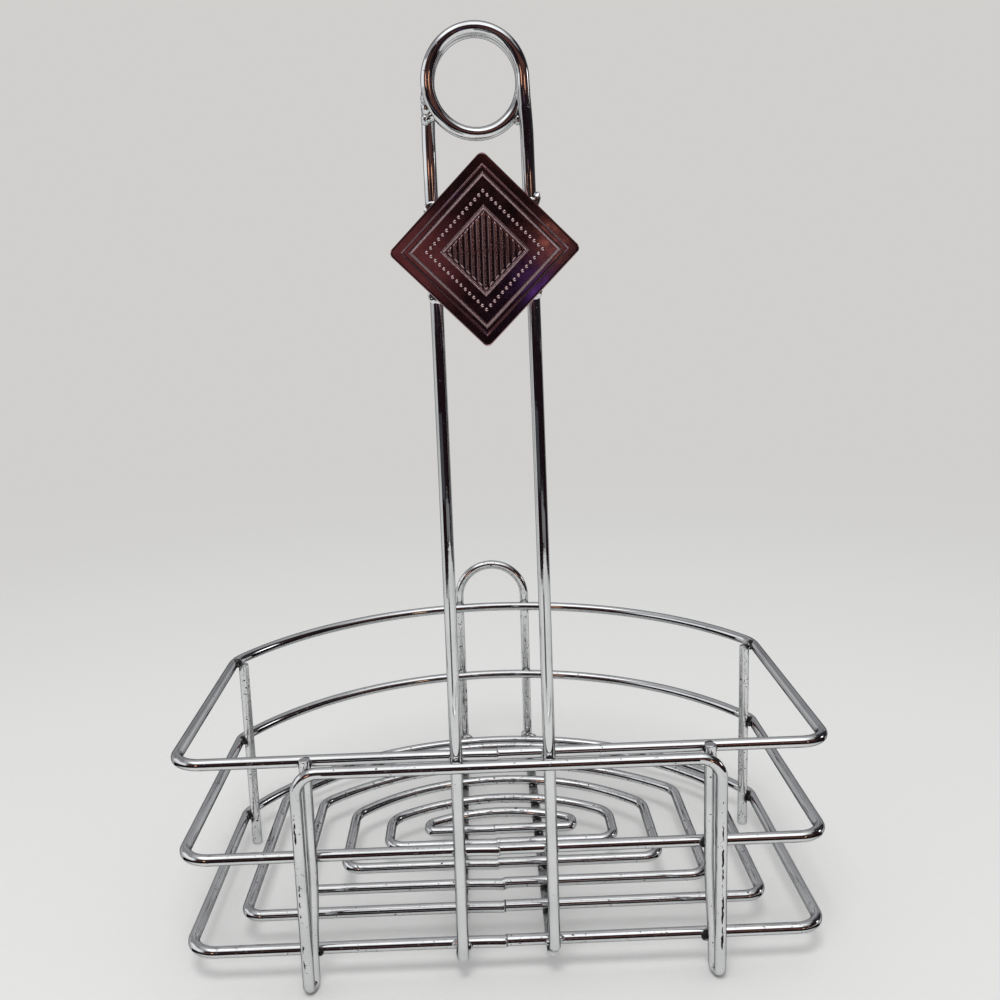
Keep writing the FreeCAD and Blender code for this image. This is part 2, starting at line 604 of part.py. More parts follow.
REAR_SPOT = cell("rear_weld_dia")
leg_spots = []
for level in LEVELS:
    spot_z = f"({level} - {REAR_SPOT} / 2)"
    leg_spots.append(("X", f"(-1 * {REAR_LEG_X} - {STACK})", REAR_LEG_Y, spot_z))
    leg_spots.append(("X", REAR_LEG_X, REAR_LEG_Y, spot_z))

GRIP_SPOT_X = f"sqrt({GRIP_X}^2 - {cell('grip_weld_drop')}^2)"
grip_spots = both_sides("Y", GRIP_SPOT_X, FRONT_TURN_Y, f"({GRIP_Z} - {cell('grip_weld_drop')})")

badge_spots = []
for sign in ("-", "+"):
    spot_z = f"({BADGE_Z} {sign} {cell('badge_weld_pitch')} / 2)"
    badge_spots += both_sides("Y", stem_x(spot_z), BADGE_BACK, spot_z)

rear_legs = [doc.getObject("rear_leg_left"), doc.getObject("rear_leg_right")]
welds = [
    weld_spots("handle_welds", stem_spots, [handle] + rings, SPOT, STACK),
    weld_spots("rail_welds", both_sides("Y", stem_x(RAIL_Z), RAIL_Y, RAIL_Z), [handle, frame],
               SPOT, STACK),
    weld_spots("strand_welds", strand_spots, [frame] + rings, SPOT, STACK),
    weld_spots("arch_welds", arch_spots, [arch] + rings, SPOT, STACK),
    weld_spots("floor_welds", floor_spots, [arch, rings[0]] + nest_rings, SPOT, STACK),
    weld_spots("rear_leg_welds", leg_spots, rear_legs + rings, REAR_SPOT, STACK),
    weld_spots("grip_welds", grip_spots, [handle], SPOT, f"2 * {HALF_COIL}"),
    weld_spots("badge_welds", badge_spots, [handle], SPOT, f"{STEM_Y} - {BADGE_BACK}"),
]

# ---------------------------------------------------------------- check and export

doc.recompute()
for item in doc.Objects:
    if "Invalid" in item.State or "Error" in item.State:
        raise RuntimeError(f"{item.Name} did not build")
parts = rings + nest_rings + [arch, frame, handle, badge] + rear_legs + welds
os.makedirs("parts", exist_ok=True)
for part in parts:
    if part.Shape.isNull() or not part.Shape.isValid():
        raise RuntimeError(f"{part.Label} has no valid shape")
    box = part.Shape.optimalBoundingBox()
    print(f"{part.Label}: {len(part.Shape.Solids)} solids, {part.Shape.Volume:.0f} mm3,",
          f"x {box.XMin:.1f}..{box.XMax:.1f}, y {box.YMin:.1f}..{box.YMax:.1f},",
          f"z {box.ZMin:.1f}..{box.ZMax:.1f}")
    part.Shape.exportStep(f"parts/{part.Label}.step")
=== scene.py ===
# %% [markdown]
# # Chrome wire caddy
# A table caddy bent and welded from 4.8 mm steel wire, then plated: three D-shaped rings, a floor
# of nested D rings, a front frame with hairpin feet, a looped carrying handle and a diamond badge.
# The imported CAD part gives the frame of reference. Every wire is swept again here with a rounder
# section, its butt weld, its cut ends and its wear, and stands for the CAD node of the same name.

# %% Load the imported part
import bpy
import math
import bmesh
import numpy as np
from mathutils import Matrix, Vector, noise


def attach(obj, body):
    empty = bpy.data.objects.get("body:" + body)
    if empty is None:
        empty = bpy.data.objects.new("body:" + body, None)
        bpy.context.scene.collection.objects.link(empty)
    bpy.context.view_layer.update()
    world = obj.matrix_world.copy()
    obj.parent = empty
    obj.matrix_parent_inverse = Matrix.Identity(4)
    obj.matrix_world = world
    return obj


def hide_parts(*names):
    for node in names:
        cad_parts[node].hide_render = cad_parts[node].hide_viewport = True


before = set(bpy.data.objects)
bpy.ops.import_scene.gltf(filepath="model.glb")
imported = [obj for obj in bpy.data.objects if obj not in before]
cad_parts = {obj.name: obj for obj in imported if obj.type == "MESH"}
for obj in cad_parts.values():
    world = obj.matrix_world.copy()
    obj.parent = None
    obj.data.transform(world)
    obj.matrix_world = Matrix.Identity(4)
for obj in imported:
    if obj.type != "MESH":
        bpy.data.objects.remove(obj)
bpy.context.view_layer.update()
BODY = "root"

# %% [markdown]
# ## Sizes
# Blender works in metres and a wire worker in millimetres, so sizes are written in millimetres and
# a mesh is scaled once, when it is made. The three layers in front of the rings and the levels of
# the rings are what every other piece is placed from.

# %% Sizes of the wire and the rings, in millimetres
MM = 0.001
X, Y, Z = (1, 0, 0), (0, 1, 0), (0, 0, 1)
QUARTER = math.pi / 2
WIRE_R = 2.4
STACK = 5.0  # from the middle of one wire to the next one on top of it
ARCH_HALF = 19.0
RING = dict(width=266.0, depth=204.8, back=150.0, corner=(12.0, 10.5), rear=12.0,
            top_rear=22.0)
LEVELS = {"bottom_ring": 15.0, "middle_ring": 56.75, "top_ring": 98.5}
LOW, MIDDLE, HIGH = LEVELS.values()
arch_behind = RING["depth"] - RING["back"] + math.sqrt(RING["back"] ** 2 - ARCH_HALF ** 2) + STACK
FRONT_Y = (2 * STACK - arch_behind) / 2
ARCH_Y = FRONT_Y + arch_behind
STEM_Y = FRONT_Y - STACK
RAIL_Y = FRONT_Y - 2 * STACK
CROSS_Z = LOW - STACK
print(f"front wires of the rings at y {FRONT_Y:.2f}, rear arch at y {ARCH_Y:.2f}")

# %% Points along straight runs and bends
STRAIGHT_STEP, BEND_STEP, BEND_ARC = 1.25, math.radians(5), 1.5


def run(start, end):
    """Points of a straight run, without its last point."""
    start, end = np.array(start, float), np.array(end, float)
    count = max(1, round(float(np.linalg.norm(end - start)) / STRAIGHT_STEP))
    return [start + (end - start) * k / count for k in range(count)]


def bend(centre, radius, start, end, across, up):
    """Points of an arc from angle start to angle end, without its last point."""
    centre, across, up = (np.array(v, float) for v in (centre, across, up))
    count = max(3, math.ceil(abs(end - start) / min(BEND_STEP, BEND_ARC / radius)))
    angles = [start + (end - start) * k / count for k in range(count)]
    return [centre + radius * (math.cos(a) * across + math.sin(a) * up) for a in angles]


def eased(low, high, value):
    """0 up to low, 1 from high on, and an S-shaped way between them."""
    t = min(max((value - low) / (high - low), 0.0), 1.0)
    return t * t * (3 - 2 * t)


print("points in a quarter bend:", len(bend((0, 0, 0), RING["rear"], 0, QUARTER, X, Y)))

# %% [markdown]
# ## Trees of nodes
# Geometry Nodes, materials and the world are all built from nodes. One small helper adds a node,
# sets it and joins it in one line, so that a tree in this script reads like a recipe.

# %% Helper that adds nodes and joins them
class Nodes:
    """Adds nodes to a tree. Any input takes a value, an output or a node's first output."""

    def __init__(self, tree):
        self.tree = tree
        tree.nodes.clear()

    def feed(self, socket, value):
        if isinstance(value, bpy.types.Node):
            value = value.outputs[0]
        if isinstance(value, bpy.types.NodeSocket):
            self.tree.links.new(value, socket)
        else:
            socket.default_value = value

    def add(self, kind, *inputs, **given):
        """New node with inputs in order, inputs by name as in_Name, and the rest as settings."""
        node = self.tree.nodes.new(kind)
        named = {key[3:].replace("_", " "): given.pop(key)
                 for key in list(given) if key.startswith("in_")}
        for key, value in given.items():
            setattr(node, key, value)
        for place, value in (*enumerate(inputs), *named.items()):
            self.feed(node.inputs[place], value)
        return node

    def math(self, operation, *values):
        return self.add("ShaderNodeMath", *values, operation=operation).outputs[0]

    def plus(self, first, second):
        return self.math("ADD", first, second)

    def times(self, first, second):
        return self.math("MULTIPLY", first, second)

    def fade(self, value, low, high, first=0.0, last=1.0):
        return self.add("ShaderNodeMapRange", value, low, high, first, last,
                        interpolation_type="SMOOTHSTEP").outputs[0]

    def mix(self, factor, first, second):
        node = self.add("ShaderNodeMix", factor, data_type="RGBA")
        self.feed(node.inputs[6], first)
        self.feed(node.inputs[7], second)
        return node.outputs[2]

    def noise(self, where, scale, detail=2.0, roughness=0.5, stretch=None):
        if stretch is not None:
            where = self.add("ShaderNodeMapping", in_Vector=where, in_Scale=stretch)
        return self.add("ShaderNodeTexNoise", in_Vector=where, in_Scale=scale, in_Detail=detail,
                        in_Roughness=roughness).outputs["Fac"]


# %% [markdown]
# ## One wire
# A wire is a round section that follows a line, so a Geometry Nodes tree sweeps it: the object's
# own curve is the line, each point's radius scales the section, and the ends are capped. Caps stay
# flat-shaded because a cut end is flat. Each wire is then turned into a plain mesh, because the
# modifier has done its work.

# %% Geometry Nodes tree that sweeps a wire
def new_tree(name, inputs):
    """Geometry Nodes tree with a geometry, the named inputs and a finish. Returns its inputs."""
    tree = bpy.data.node_groups.new(name, "GeometryNodeTree")
    for label, kind in {"Geometry": "Geometry", **inputs, "Finish": "Material"}.items():
        tree.interface.new_socket(label, in_out="INPUT", socket_type="NodeSocket" + kind)
    tree.interface.new_socket("Geometry", in_out="OUTPUT", socket_type="NodeSocketGeometry")
    n = Nodes(tree)
    return n, n.add("NodeGroupInput").outputs


def end_tree(n, given, geometry):
    """Makes the geometry real, gives it the finish and sends it out."""
    real = n.add("GeometryNodeRealizeInstances", geometry)
    painted = n.add("GeometryNodeSetMaterial", real, in_Material=given["Finish"])
    n.add("NodeGroupOutput", painted)
    print(f"{n.tree.name}: {len(n.tree.nodes)} nodes")
    return n.tree


def wire_tree():
    n, given = new_tree("SweepWire", {"Wire radius": "Float", "Sides": "Int"})
    section = n.add("GeometryNodeCurvePrimitiveCircle", in_Radius=given["Wire radius"],
                    in_Resolution=given["Sides"])
    sweep = n.add("GeometryNodeCurveToMesh", in_Curve=given["Geometry"],
                  in_Profile_Curve=section, in_Scale=n.add("GeometryNodeInputRadius"),
                  in_Fill_Caps=True)
    corners = n.add("GeometryNodeInputMeshFaceNeighbors").outputs["Vertex Count"]
    is_side = n.add("FunctionNodeCompare", data_type="INT", operation="LESS_EQUAL",
                    in_A=corners, in_B=4)
    flat = n.add("GeometryNodeSetShadeSmooth", in_Geometry=sweep, in_Shade_Smooth=False)
    round_sides = n.add("GeometryNodeSetShadeSmooth", in_Geometry=flat, in_Selection=is_side)
    return end_tree(n, given, round_sides)


SWEEP = wire_tree()


# %% Run a tree on an object and keep the result as a plain mesh
def new_object(name, data):
    piece = bpy.data.objects.new(name, data)
    bpy.context.scene.collection.objects.link(piece)
    return piece


def baked(source, tree, values, name):
    """The evaluated result of a node tree as a new mesh object; the source goes."""
    modifier = source.modifiers.new("shape", "NODES")
    modifier.node_group = tree
    for item in tree.interface.items_tree:
        if item.in_out == "INPUT" and item.name in values:
            modifier[item.identifier] = values[item.name]
    graph = bpy.context.evaluated_depsgraph_get()
    graph.update()
    mesh = bpy.data.meshes.new_from_object(source.evaluated_get(graph))
    source.modifiers.remove(modifier)
    bpy.data.objects.remove(source)
    mesh.name = name
    return new_object(name, mesh)


def wire_curve(name, points, scale, closed):
    """Curve object through the points, given in millimetres, with a radius factor at each."""
    curve = bpy.data.curves.new(name, "CURVE")
    curve.dimensions = "3D"
    curve.twist_mode = "MINIMUM"
    spline = curve.splines.new("POLY")
    spline.points.add(len(points) - 1)
    for spot, point, factor in zip(spline.points, points, scale):
        spot.co = (*(np.array(point) * MM), 1)
        spot.radius = factor
    spline.use_cyclic_u = closed
    return new_object(name, curve)


# %% [markdown]
# ## Chrome
# Bright plating is a mirror, so nearly all of its look is what it reflects. What makes it read as
# real wire is small: the drawn steel underneath is not quite round, the plating has a faint orange
# peel, and the oldest places have pits where rust shows through. Three numbers that each mesh
# carries as attributes say where: `wear` lets pits through, the streak number lets long upright
# pits through and on the legs of the arch is partly painted shade, and the soot number is the soot
# of a weld and, on the cross wires under the floor rings, painted shade.

# %% A chrome finish with pits and burnt marks
CHROME_TINT = (0.745, 0.75, 0.755, 1)
CHROME_SHADE = (0.655, 0.66, 0.67, 1)
RUST = (0.012, 0.009, 0.008, 1)
# Colour of soot, also used for the painted shade on the cross wires under the floor rings.
SOOT_AND_SHADE_TONE = (0.022, 0.020, 0.021, 1)
RELIEF_HEIGHT = 0.0004  # metres, for the bump of both metals


def new_material(name):
    material = bpy.data.materials.new(name)
    material.use_nodes = True
    return material, Nodes(material.node_tree)


def chrome(name):
    material, n = new_material(name)
    place = n.add("ShaderNodeTexCoord").outputs["Object"]
    wear, streak, burn = (n.add("ShaderNodeAttribute", attribute_name=label).outputs["Fac"]
                          for label in ("wear", "streak", "burn"))
    # Pits: fine noise, let through only where the wear is high; upright ones where it streaks,
    # which on the legs of the arch is partly painted shade.
    level = n.plus(n.times(wear, 0.34), n.times(n.noise(place, 160), 0.22))
    specks = n.fade(n.plus(n.noise(place, 800, 3.0, 0.6), level), 0.88, 0.92)
    uneven = n.noise(place, 150, 2.0, 0.7, stretch=(1.0, 1.0, 0.7))
    level = n.plus(n.times(streak, 0.46), n.fade(uneven, 0.35, 0.65, -0.10, 0.09))
    tall = n.plus(n.noise(place, 560, 4.0, 0.7, stretch=(1.0, 1.0, 0.30)), level)
    pits = n.math("MAXIMUM", specks, n.fade(tall, 0.955, 0.985))
    # Soot round the welds; on the cross wires under the floor rings the same darkening is painted
    # shade.
    soot_and_shade_amount = n.times(burn, n.fade(n.noise(place, 420, 3.0), 0.26, 0.46))
    soot_and_shade_amount = n.fade(soot_and_shade_amount, 0.12, 0.62)
    # Cloudy plating: slow changes of tint and gloss.
    cloud = n.noise(place, 55, 3.0)
    tint = n.mix(n.fade(cloud, 0.35, 0.7), CHROME_TINT, CHROME_SHADE)
    tint = n.mix(pits, n.mix(soot_and_shade_amount, tint, SOOT_AND_SHADE_TONE), RUST)
    rough = n.fade(cloud, 0.3, 0.75, 0.035, 0.08)
    rough = n.math("MAXIMUM", rough, n.times(soot_and_shade_amount, 0.45))
    rough = n.math("MAXIMUM", rough, n.times(pits, 0.7))
    metal = n.math("SUBTRACT", 1.0, n.times(n.math("MAXIMUM", pits, soot_and_shade_amount), 0.8))
    # Relief: long waves of the drawn wire, orange peel, the crust of the soot, and the pits.
    waves = n.times(n.noise(place, 90, 1.0), 0.40)
    peel = n.times(n.noise(place, 700), 0.04)
    crust = n.times(n.noise(place, 1500, 3.0), n.times(soot_and_shade_amount, 0.35))
    height = n.plus(n.plus(waves, peel), crust)
    height = n.math("SUBTRACT", height, n.times(pits, 0.5))
    bump = n.add("ShaderNodeBump", in_Strength=0.35, in_Distance=RELIEF_HEIGHT, in_Height=height)
    shader = n.add("ShaderNodeBsdfPrincipled", in_Base_Color=tint, in_Metallic=metal,
                   in_Roughness=rough, in_Specular_Tint=(0.12, 0.12, 0.13, 1), in_Normal=bump)
    n.add("ShaderNodeOutputMaterial", in_Surface=shader)
    print(f"{name}: {len(n.tree.nodes)} nodes")
    return material


BRIGHT = chrome("BrightChrome")

# %% [markdown]
# ## D rings
# Each ring is bent from one wire and its two ends are butt-welded in the middle of the front. The
# weld was ground flush but never quite is: there is a low ridge, and one side sits a hair lower.
# The points of the line stand close together at the weld and further apart away from it.

# %% Butt weld of a ring
SEAM_STEPS = (0.0, 0.12, 0.25, 0.45, 0.7, 1.1, 1.8, 3.0, 5.0)
SEAM_GAP, SEAM_REACH = 2.0, 40.0  # beyond its reach the weld has no effect
GROOVE, GROOVE_WIDTH = 0.10, 0.16
RIDGE, RIDGE_AT, RIDGE_WIDTH = 0.05, 0.45, 0.3
SWELL, SWELL_REACH, DROP_REACH = 0.03, 6.0, 11.0
# Place of each weld to the right of the middle, and how much lower its left side sits.
SEAMS = {"bottom_ring": (-0.5, 0.5), "middle_ring": (-2.1, 0.6), "top_ring": (-1.4, 0.3),
         "floor_ring_1": (-0.6, 0.55), "floor_ring_2": (0.2, 0.95), "floor_ring_3": (-2.3, 0.65),
         "floor_ring_4": (-2.5, 0.5), "floor_ring_5": (-3.4, 0.25)}


def seam_shape(side, step):
    """Radius factor and drop of the wire near the butt weld; side is negative on its left."""
    distance = abs(side)
    factor = 1 - GROOVE * math.exp(-(distance / GROOVE_WIDTH) ** 2)
    factor += RIDGE * math.exp(-((distance - RIDGE_AT) / RIDGE_WIDTH) ** 2)
    if side < 0:
        factor += SWELL * math.exp(-distance / SWELL_REACH)
    drop = -step * math.exp(-distance / DROP_REACH) if side < -SEAM_STEPS[1] / 2 else 0.0
    return factor, drop


# %% Line of a D ring
def d_ring(width, front, back, back_radius, corner, rear, level, seam):
    """Closed line of a D ring from the butt weld in its front, with its radius factors."""
    half, centre = width / 2, back - back_radius
    side = centre + math.sqrt((back_radius - rear) ** 2 - (half - rear) ** 2)
    swing = math.acos((half - rear) / (back_radius - rear))
    seam_x, step = seam
    left, right = corner
    clear = SEAM_STEPS[-1] + SEAM_GAP

    def at(x, y):
        return (x, FRONT_Y + y, level)

    points = [at(seam_x + s, front) for s in SEAM_STEPS]
    points += run(at(seam_x + clear, front), at(half - right, front))
    points += bend(at(half - right, front + right), right, -QUARTER, 0, X, Y)
    points += run(at(half, front + right), at(half, side))
    points += bend(at(half - rear, side), rear, 0, swing, X, Y)
    points += bend(at(0, centre), back_radius, swing, math.pi - swing, X, Y)
    points += bend(at(rear - half, side), rear, math.pi - swing, math.pi, X, Y)
    points += run(at(-half, side), at(-half, front + left))
    points += bend(at(left - half, front + left), left, math.pi, 3 * QUARTER, X, Y)
    points += run(at(left - half, front), at(seam_x - clear, front))
    points += [at(seam_x - s, front) for s in SEAM_STEPS[:0:-1]]
    points, scale = np.array(points), np.ones(len(points))
    for k, point in enumerate(points):
        off = point[0] - seam_x
        if point[1] < FRONT_Y + front + 0.01 and abs(off) < SEAM_REACH:
            scale[k], drop = seam_shape(off, step)
            point[2] += drop
    return points, scale


# %% The three large rings
WIRES, RING_LINES = {}, {}
SIDES = 40


def make_wire(name, points, scale, closed=False):
    values = {"Wire radius": WIRE_R * MM, "Sides": SIDES, "Finish": BRIGHT}
    source = wire_curve(name + "_line", points, scale, closed)
    WIRES[name] = baked(source, SWEEP, values, name + "_wire")
    print(f"{name}: {len(points)} points, {len(WIRES[name].data.polygons)} faces")


def make_ring(name, *sizes):
    points, scale = d_ring(*sizes, SEAMS[name])
    RING_LINES[name] = points
    make_wire(name, points, scale, closed=True)


for label, level in LEVELS.items():
    rear = RING["top_rear"] if label == "top_ring" else RING["rear"]
    make_ring(label, RING["width"], 0, RING["depth"], RING["back"], RING["corner"], rear, level)

# %% [markdown]
# ## Floor rings
# Five smaller D rings lie inside the bottom ring, on two cross wires. Their sizes step inwards by
# uneven amounts, as in the real rack, so they are a table rather than a rule.

# %% The five floor rings: width, front, back, radius of the back, radius of the front corners
NESTS = ((229.0, 26.0, 196.0, 142.0, 8.0), (187.0, 45.0, 170.5, 130.0, 8.0),
         (149.0, 62.5, 151.0, 97.5, 8.0), (111.0, 81.5, 129.0, 87.0, 8.0),
         (72.0, 95.5, 113.5, 68.0, 3.3))
REAR_BEND = 13.0
for count, (*sizes, corner) in enumerate(NESTS, start=1):
    rear = corner if count == len(NESTS) else REAR_BEND
    make_ring(f"floor_ring_{count}", *sizes, (corner, corner), rear, LOW)


# %% [markdown]
# ## Open wires
# The other wires have two cut ends each. A cut end is nearly flat with a small broken edge, so the
# radius factor falls a little over the last half millimetre.

# %% Broken edges on cut ends: distance from the end, and radius factor
CUT = ((0.0, 0.84), (0.1, 0.93), (0.28, 0.985), (0.5, 1.0))


def open_wire(name, points):
    """Wire with the points of the broken edge added at both ends."""
    points = [np.array(p, float) for p in points]

    def edge(end, towards):
        way = (towards - end) / np.linalg.norm(towards - end)
        return [(end + way * distance, factor) for distance, factor in CUT]

    rows = edge(points[0], points[1]) + [(p, 1.0) for p in points[1:-1]]
    rows += edge(points[-1], points[-2])[::-1]
    make_wire(name, *zip(*rows))


# %% [markdown]
# ## Rear arch and rear legs
# One wire rises behind the rings as an arch, and its two ends turn forward under the floor rings
# and carry them. Its line is made of runs and bends set end to end, as a wire bender steps along
# a wire: each helper leaves out its last point, because the next one starts there. The rear legs
# are plain rods inside the rear bends of the rings.

# %% Rear arch: up behind the rings and forward under the floor as the two cross wires
ARCH_RISE, CROSS_OVERHANG = 24.5, 2.2
ARCH_SPRING = HIGH + ARCH_RISE - ARCH_HALF
CROSS_END = FRONT_Y - CROSS_OVERHANG


def arch_side(x):
    """From the cut end of one cross wire to the top of its leg."""
    return (run((x, CROSS_END, CROSS_Z), (x, ARCH_Y - STACK, CROSS_Z))
            + bend((x, ARCH_Y - STACK, CROSS_Z + STACK), STACK, -QUARTER, 0, Y, Z)
            + run((x, ARCH_Y, CROSS_Z + STACK), (x, ARCH_Y, ARCH_SPRING)))


arch_line = arch_side(-ARCH_HALF)
arch_line += bend((0, ARCH_Y, ARCH_SPRING), ARCH_HALF, math.pi, 0, X, Z)
arch_line += [np.array((ARCH_HALF, ARCH_Y, ARCH_SPRING))] + arch_side(ARCH_HALF)[::-1]
open_wire("rear_arch", arch_line)

# %% Rear legs
rear_side = RING["depth"] - RING["back"] + math.sqrt(
    (RING["back"] - RING["rear"]) ** 2 - (RING["width"] / 2 - RING["rear"]) ** 2)
LEG_AHEAD = 1.0
LEG_X, LEG_Y = RING["width"] / 2 - STACK, FRONT_Y + rear_side - LEG_AHEAD
for label, x in (("rear_leg_left", -LEG_X), ("rear_leg_right", LEG_X)):
    open_wire(label, run((x, LEG_Y, 0), (x, LEG_Y, HIGH)) + [(x, LEG_Y, HIGH)])

# %% [markdown]
# ## Front frame
# The frame is one wire too. It comes down against the rings, turns round a hairpin foot, rises
# again further in front and crosses over as the rail. Half of it is described once, and the other
# half is the same with the sign turned, walked backwards.

# %% Front frame: rear strand, foot, front strand, rail, and down the other side
FRAME_SHIFT, STRAND_HALF, STRAND_INSET = 2.8, 84.7, 3.6
RAIL_Z, STRAND_TOP, RAIL_BEND = HIGH - 1.0, HIGH + 2.8, 9.0
FOOT_CLOSES, CLOSE_BELOW, CLOSED_AT = 2.0, 56.0, 5.5
STRAND_STEPS = 80


def rear_strand(sign, level):
    """Where a rear strand is across the rack. It closes in on the front strand near the foot."""
    inset = STRAND_INSET - FOOT_CLOSES * eased(CLOSE_BELOW, CLOSED_AT, level)
    return FRAME_SHIFT + sign * (STRAND_HALF - inset)


def strand(sign):
    """From the top of the rear strand down, round the foot and up to the bend of the rail."""
    front = np.array((FRAME_SHIFT + sign * STRAND_HALF, RAIL_Y, 0.0))
    rear = np.array((rear_strand(sign, 0), STEM_Y, 0.0))
    middle, reach = (front + rear) / 2, (front - rear) / 2
    radius = float(np.linalg.norm(reach))
    dip = WIRE_R + radius
    up = np.array((0, 0, 1.0))
    line = [np.array((rear_strand(sign, level), STEM_Y, level))
            for level in np.linspace(STRAND_TOP, dip, STRAND_STEPS, endpoint=False)]
    line += bend(middle + up * dip, radius, math.pi, 2 * math.pi, reach / radius, up)
    line += run(front + up * dip, front + up * (RAIL_Z - RAIL_BEND))
    centre = front + up * (RAIL_Z - RAIL_BEND) - np.array((sign * RAIL_BEND, 0, 0))
    line += bend(centre, RAIL_BEND, 0, QUARTER, (sign, 0, 0), up)
    return line + [centre + up * RAIL_BEND]


left, right = strand(-1), strand(1)
open_wire("front_frame", left[:-1] + run(left[-1], right[-1]) + right[::-1])

# %% [markdown]
# ## Handle
# The handle is a single wire, up the left, one and a half turns round the loop and down the
# right. The real wire leans and its eye is a little narrower than high, so both are kept. One rule
# says where each leg is at any level, so that the welds and the badge can ask it as well.

# %% Handle: one wire up the left, one and a half turns, and down the right
GRIP_Z, GRIP_R, GRIP_ACROSS = 354.7, 17.6, 16.8
HALF_COIL, COIL_STEP, STEM_END = 2.5, 32.0, 10.5
SHOULDER, SHOULDER_HEIGHT = 17.5, 20.0  # half the distance between the legs under the turns
BACK_TURN, FRONT_TURN = STEM_Y + HALF_COIL, STEM_Y - HALF_COIL
UNEVEN = 3.2  # the right leg was cut this much shorter
FOOT_RIGHT, TOP_LEFT = 0.65, 2.15  # the lean of the handle
STEM_STEPS, SHIFT_STEPS, COIL_STEPS = 200, 30, 60


def leg(sign, level):
    """Where a leg of the handle is across the rack at a level."""
    half = SHOULDER + (GRIP_Z - level) * (ARCH_HALF - SHOULDER) / (GRIP_Z - STEM_END)
    half -= (SHOULDER - GRIP_ACROSS) * eased(GRIP_Z - SHOULDER_HEIGHT, GRIP_Z, level)
    return sign * half + FOOT_RIGHT - TOP_LEFT * (level / GRIP_Z) ** 3


def stem(sign, turn_y):
    """From the lower end of a leg up to where its turn starts."""
    end = STEM_END + (UNEVEN if sign > 0 else 0)
    levels = np.linspace(end, GRIP_Z - COIL_STEP, STEM_STEPS, endpoint=False)
    line = [np.array((leg(sign, level), STEM_Y, level)) for level in levels]
    for k in range(SHIFT_STEPS + 1):
        t = k / SHIFT_STEPS
        level = GRIP_Z - COIL_STEP * (1 - t)
        y = STEM_Y + (turn_y - STEM_Y) * eased(0, 1, t)
        line.append(np.array((leg(sign, level), y, level)))
    return line


EYE_X = (leg(-1, GRIP_Z) + leg(1, GRIP_Z)) / 2
ACROSS = (GRIP_ACROSS / GRIP_R, 0, 0)
handle_line = stem(-1, BACK_TURN)[:-1]
handle_line += bend((EYE_X, BACK_TURN, GRIP_Z), GRIP_R, math.pi, 0, ACROSS, Z)
for k in range(COIL_STEPS):
    t = k / COIL_STEPS
    y = BACK_TURN + (FRONT_TURN - BACK_TURN) * eased(0, 1, t)
    angle = -math.pi * t
    handle_line.append(np.array((EYE_X + GRIP_ACROSS * math.cos(angle), y,
                                 GRIP_Z + GRIP_R * math.sin(angle))))
handle_line += bend((EYE_X, FRONT_TURN, GRIP_Z), GRIP_R, math.pi, 0, ACROSS, Z)
open_wire("handle", handle_line + stem(1, FRONT_TURN)[::-1])

# %% [markdown]
# ## Welds
# Crossing wires are joined by resistance welding: they are pressed together, a current melts the
# touching metal, and a little of it is squeezed out as a waisted ring between them. One such ring
# is modelled, and a Geometry Nodes tree puts it on every crossing, turned to suit, with a slightly
# different size and a different crust each time.

# %% Closed skins from loops of points
def skinned(mesh, loops, first_tip, last_tip):
    """Faces from each loop to the next, and a fan to a tip at both ends."""
    for first, second in zip(loops, loops[1:]):
        for k in range(len(first)):
            other = (k + 1) % len(first)
            mesh.faces.new((first[k], first[other], second[other], second[k]))
    for loop, tip in ((loops[0][::-1], first_tip), (loops[-1], last_tip)):
        for k in range(len(loop)):
            mesh.faces.new((loop[k], loop[(k + 1) % len(loop)], tip))
    bmesh.ops.recalc_face_normals(mesh, faces=mesh.faces)


def smooth_mesh(mesh, name):
    """Mesh data with smooth faces from a bmesh, which goes."""
    for face in mesh.faces:
        face.smooth = True
    data = bpy.data.meshes.new(name)
    mesh.to_mesh(data)
    mesh.free()
    return data


# %% One squeezed-out ring between two crossing wires
RING_ROWS, RING_POINTS = 9, 28
SPREAD, WAIST, RAGGED, OVAL = 1.95, 1.7, 0.16, 0.32
SUNK, LARGEST = 0.12, 0.97 * WIRE_R  # the ring sinks into both wires and stays within them
HALF = STACK / 2


def weld_ring(name):
    """Ring of weld metal round Z: the lower wire runs along Y, and the upper along X."""
    mesh = bmesh.new()
    loops = []
    for row in range(RING_ROWS):
        t = row / (RING_ROWS - 1)
        loop = []
        for step in range(RING_POINTS):
            angle = 2 * math.pi * step / RING_POINTS
            c, s = math.cos(angle), math.sin(angle)
            ragged = 1 + RAGGED * noise.noise(Vector((c * 1.3, s * 1.3, 0)))
            low_r, high_r = (
                min(SPREAD * ragged * (1 + OVAL * along ** 2), LARGEST / max(abs(over), 0.1))
                for over, along in ((c, s), (s, c)))
            low_z = SUNK + HALF - math.sqrt(max(WIRE_R ** 2 - (low_r * c) ** 2, 0))
            high_z = SUNK + HALF - math.sqrt(max(WIRE_R ** 2 - (high_r * s) ** 2, 0))
            end_r = low_r if t < 0.5 else high_r
            radius = WAIST * ragged + (end_r - WAIST * ragged) * (2 * t - 1) ** 2
            loop.append(mesh.verts.new((radius * c * MM, radius * s * MM,
                                        (low_z * (t - 1) + high_z * t) * MM)))
        loops.append(loop)
    skinned(mesh, loops, *(mesh.verts.new((0, 0, level * MM)) for level in (-0.5, 0.5)))
    return new_object(name, smooth_mesh(mesh, name))


# %% Geometry Nodes tree that puts a weld on every point
SMALLEST_WELD, LARGEST_WELD, CRUST, CRUST_SCALE = 0.88, 1.14, 0.00022, 520


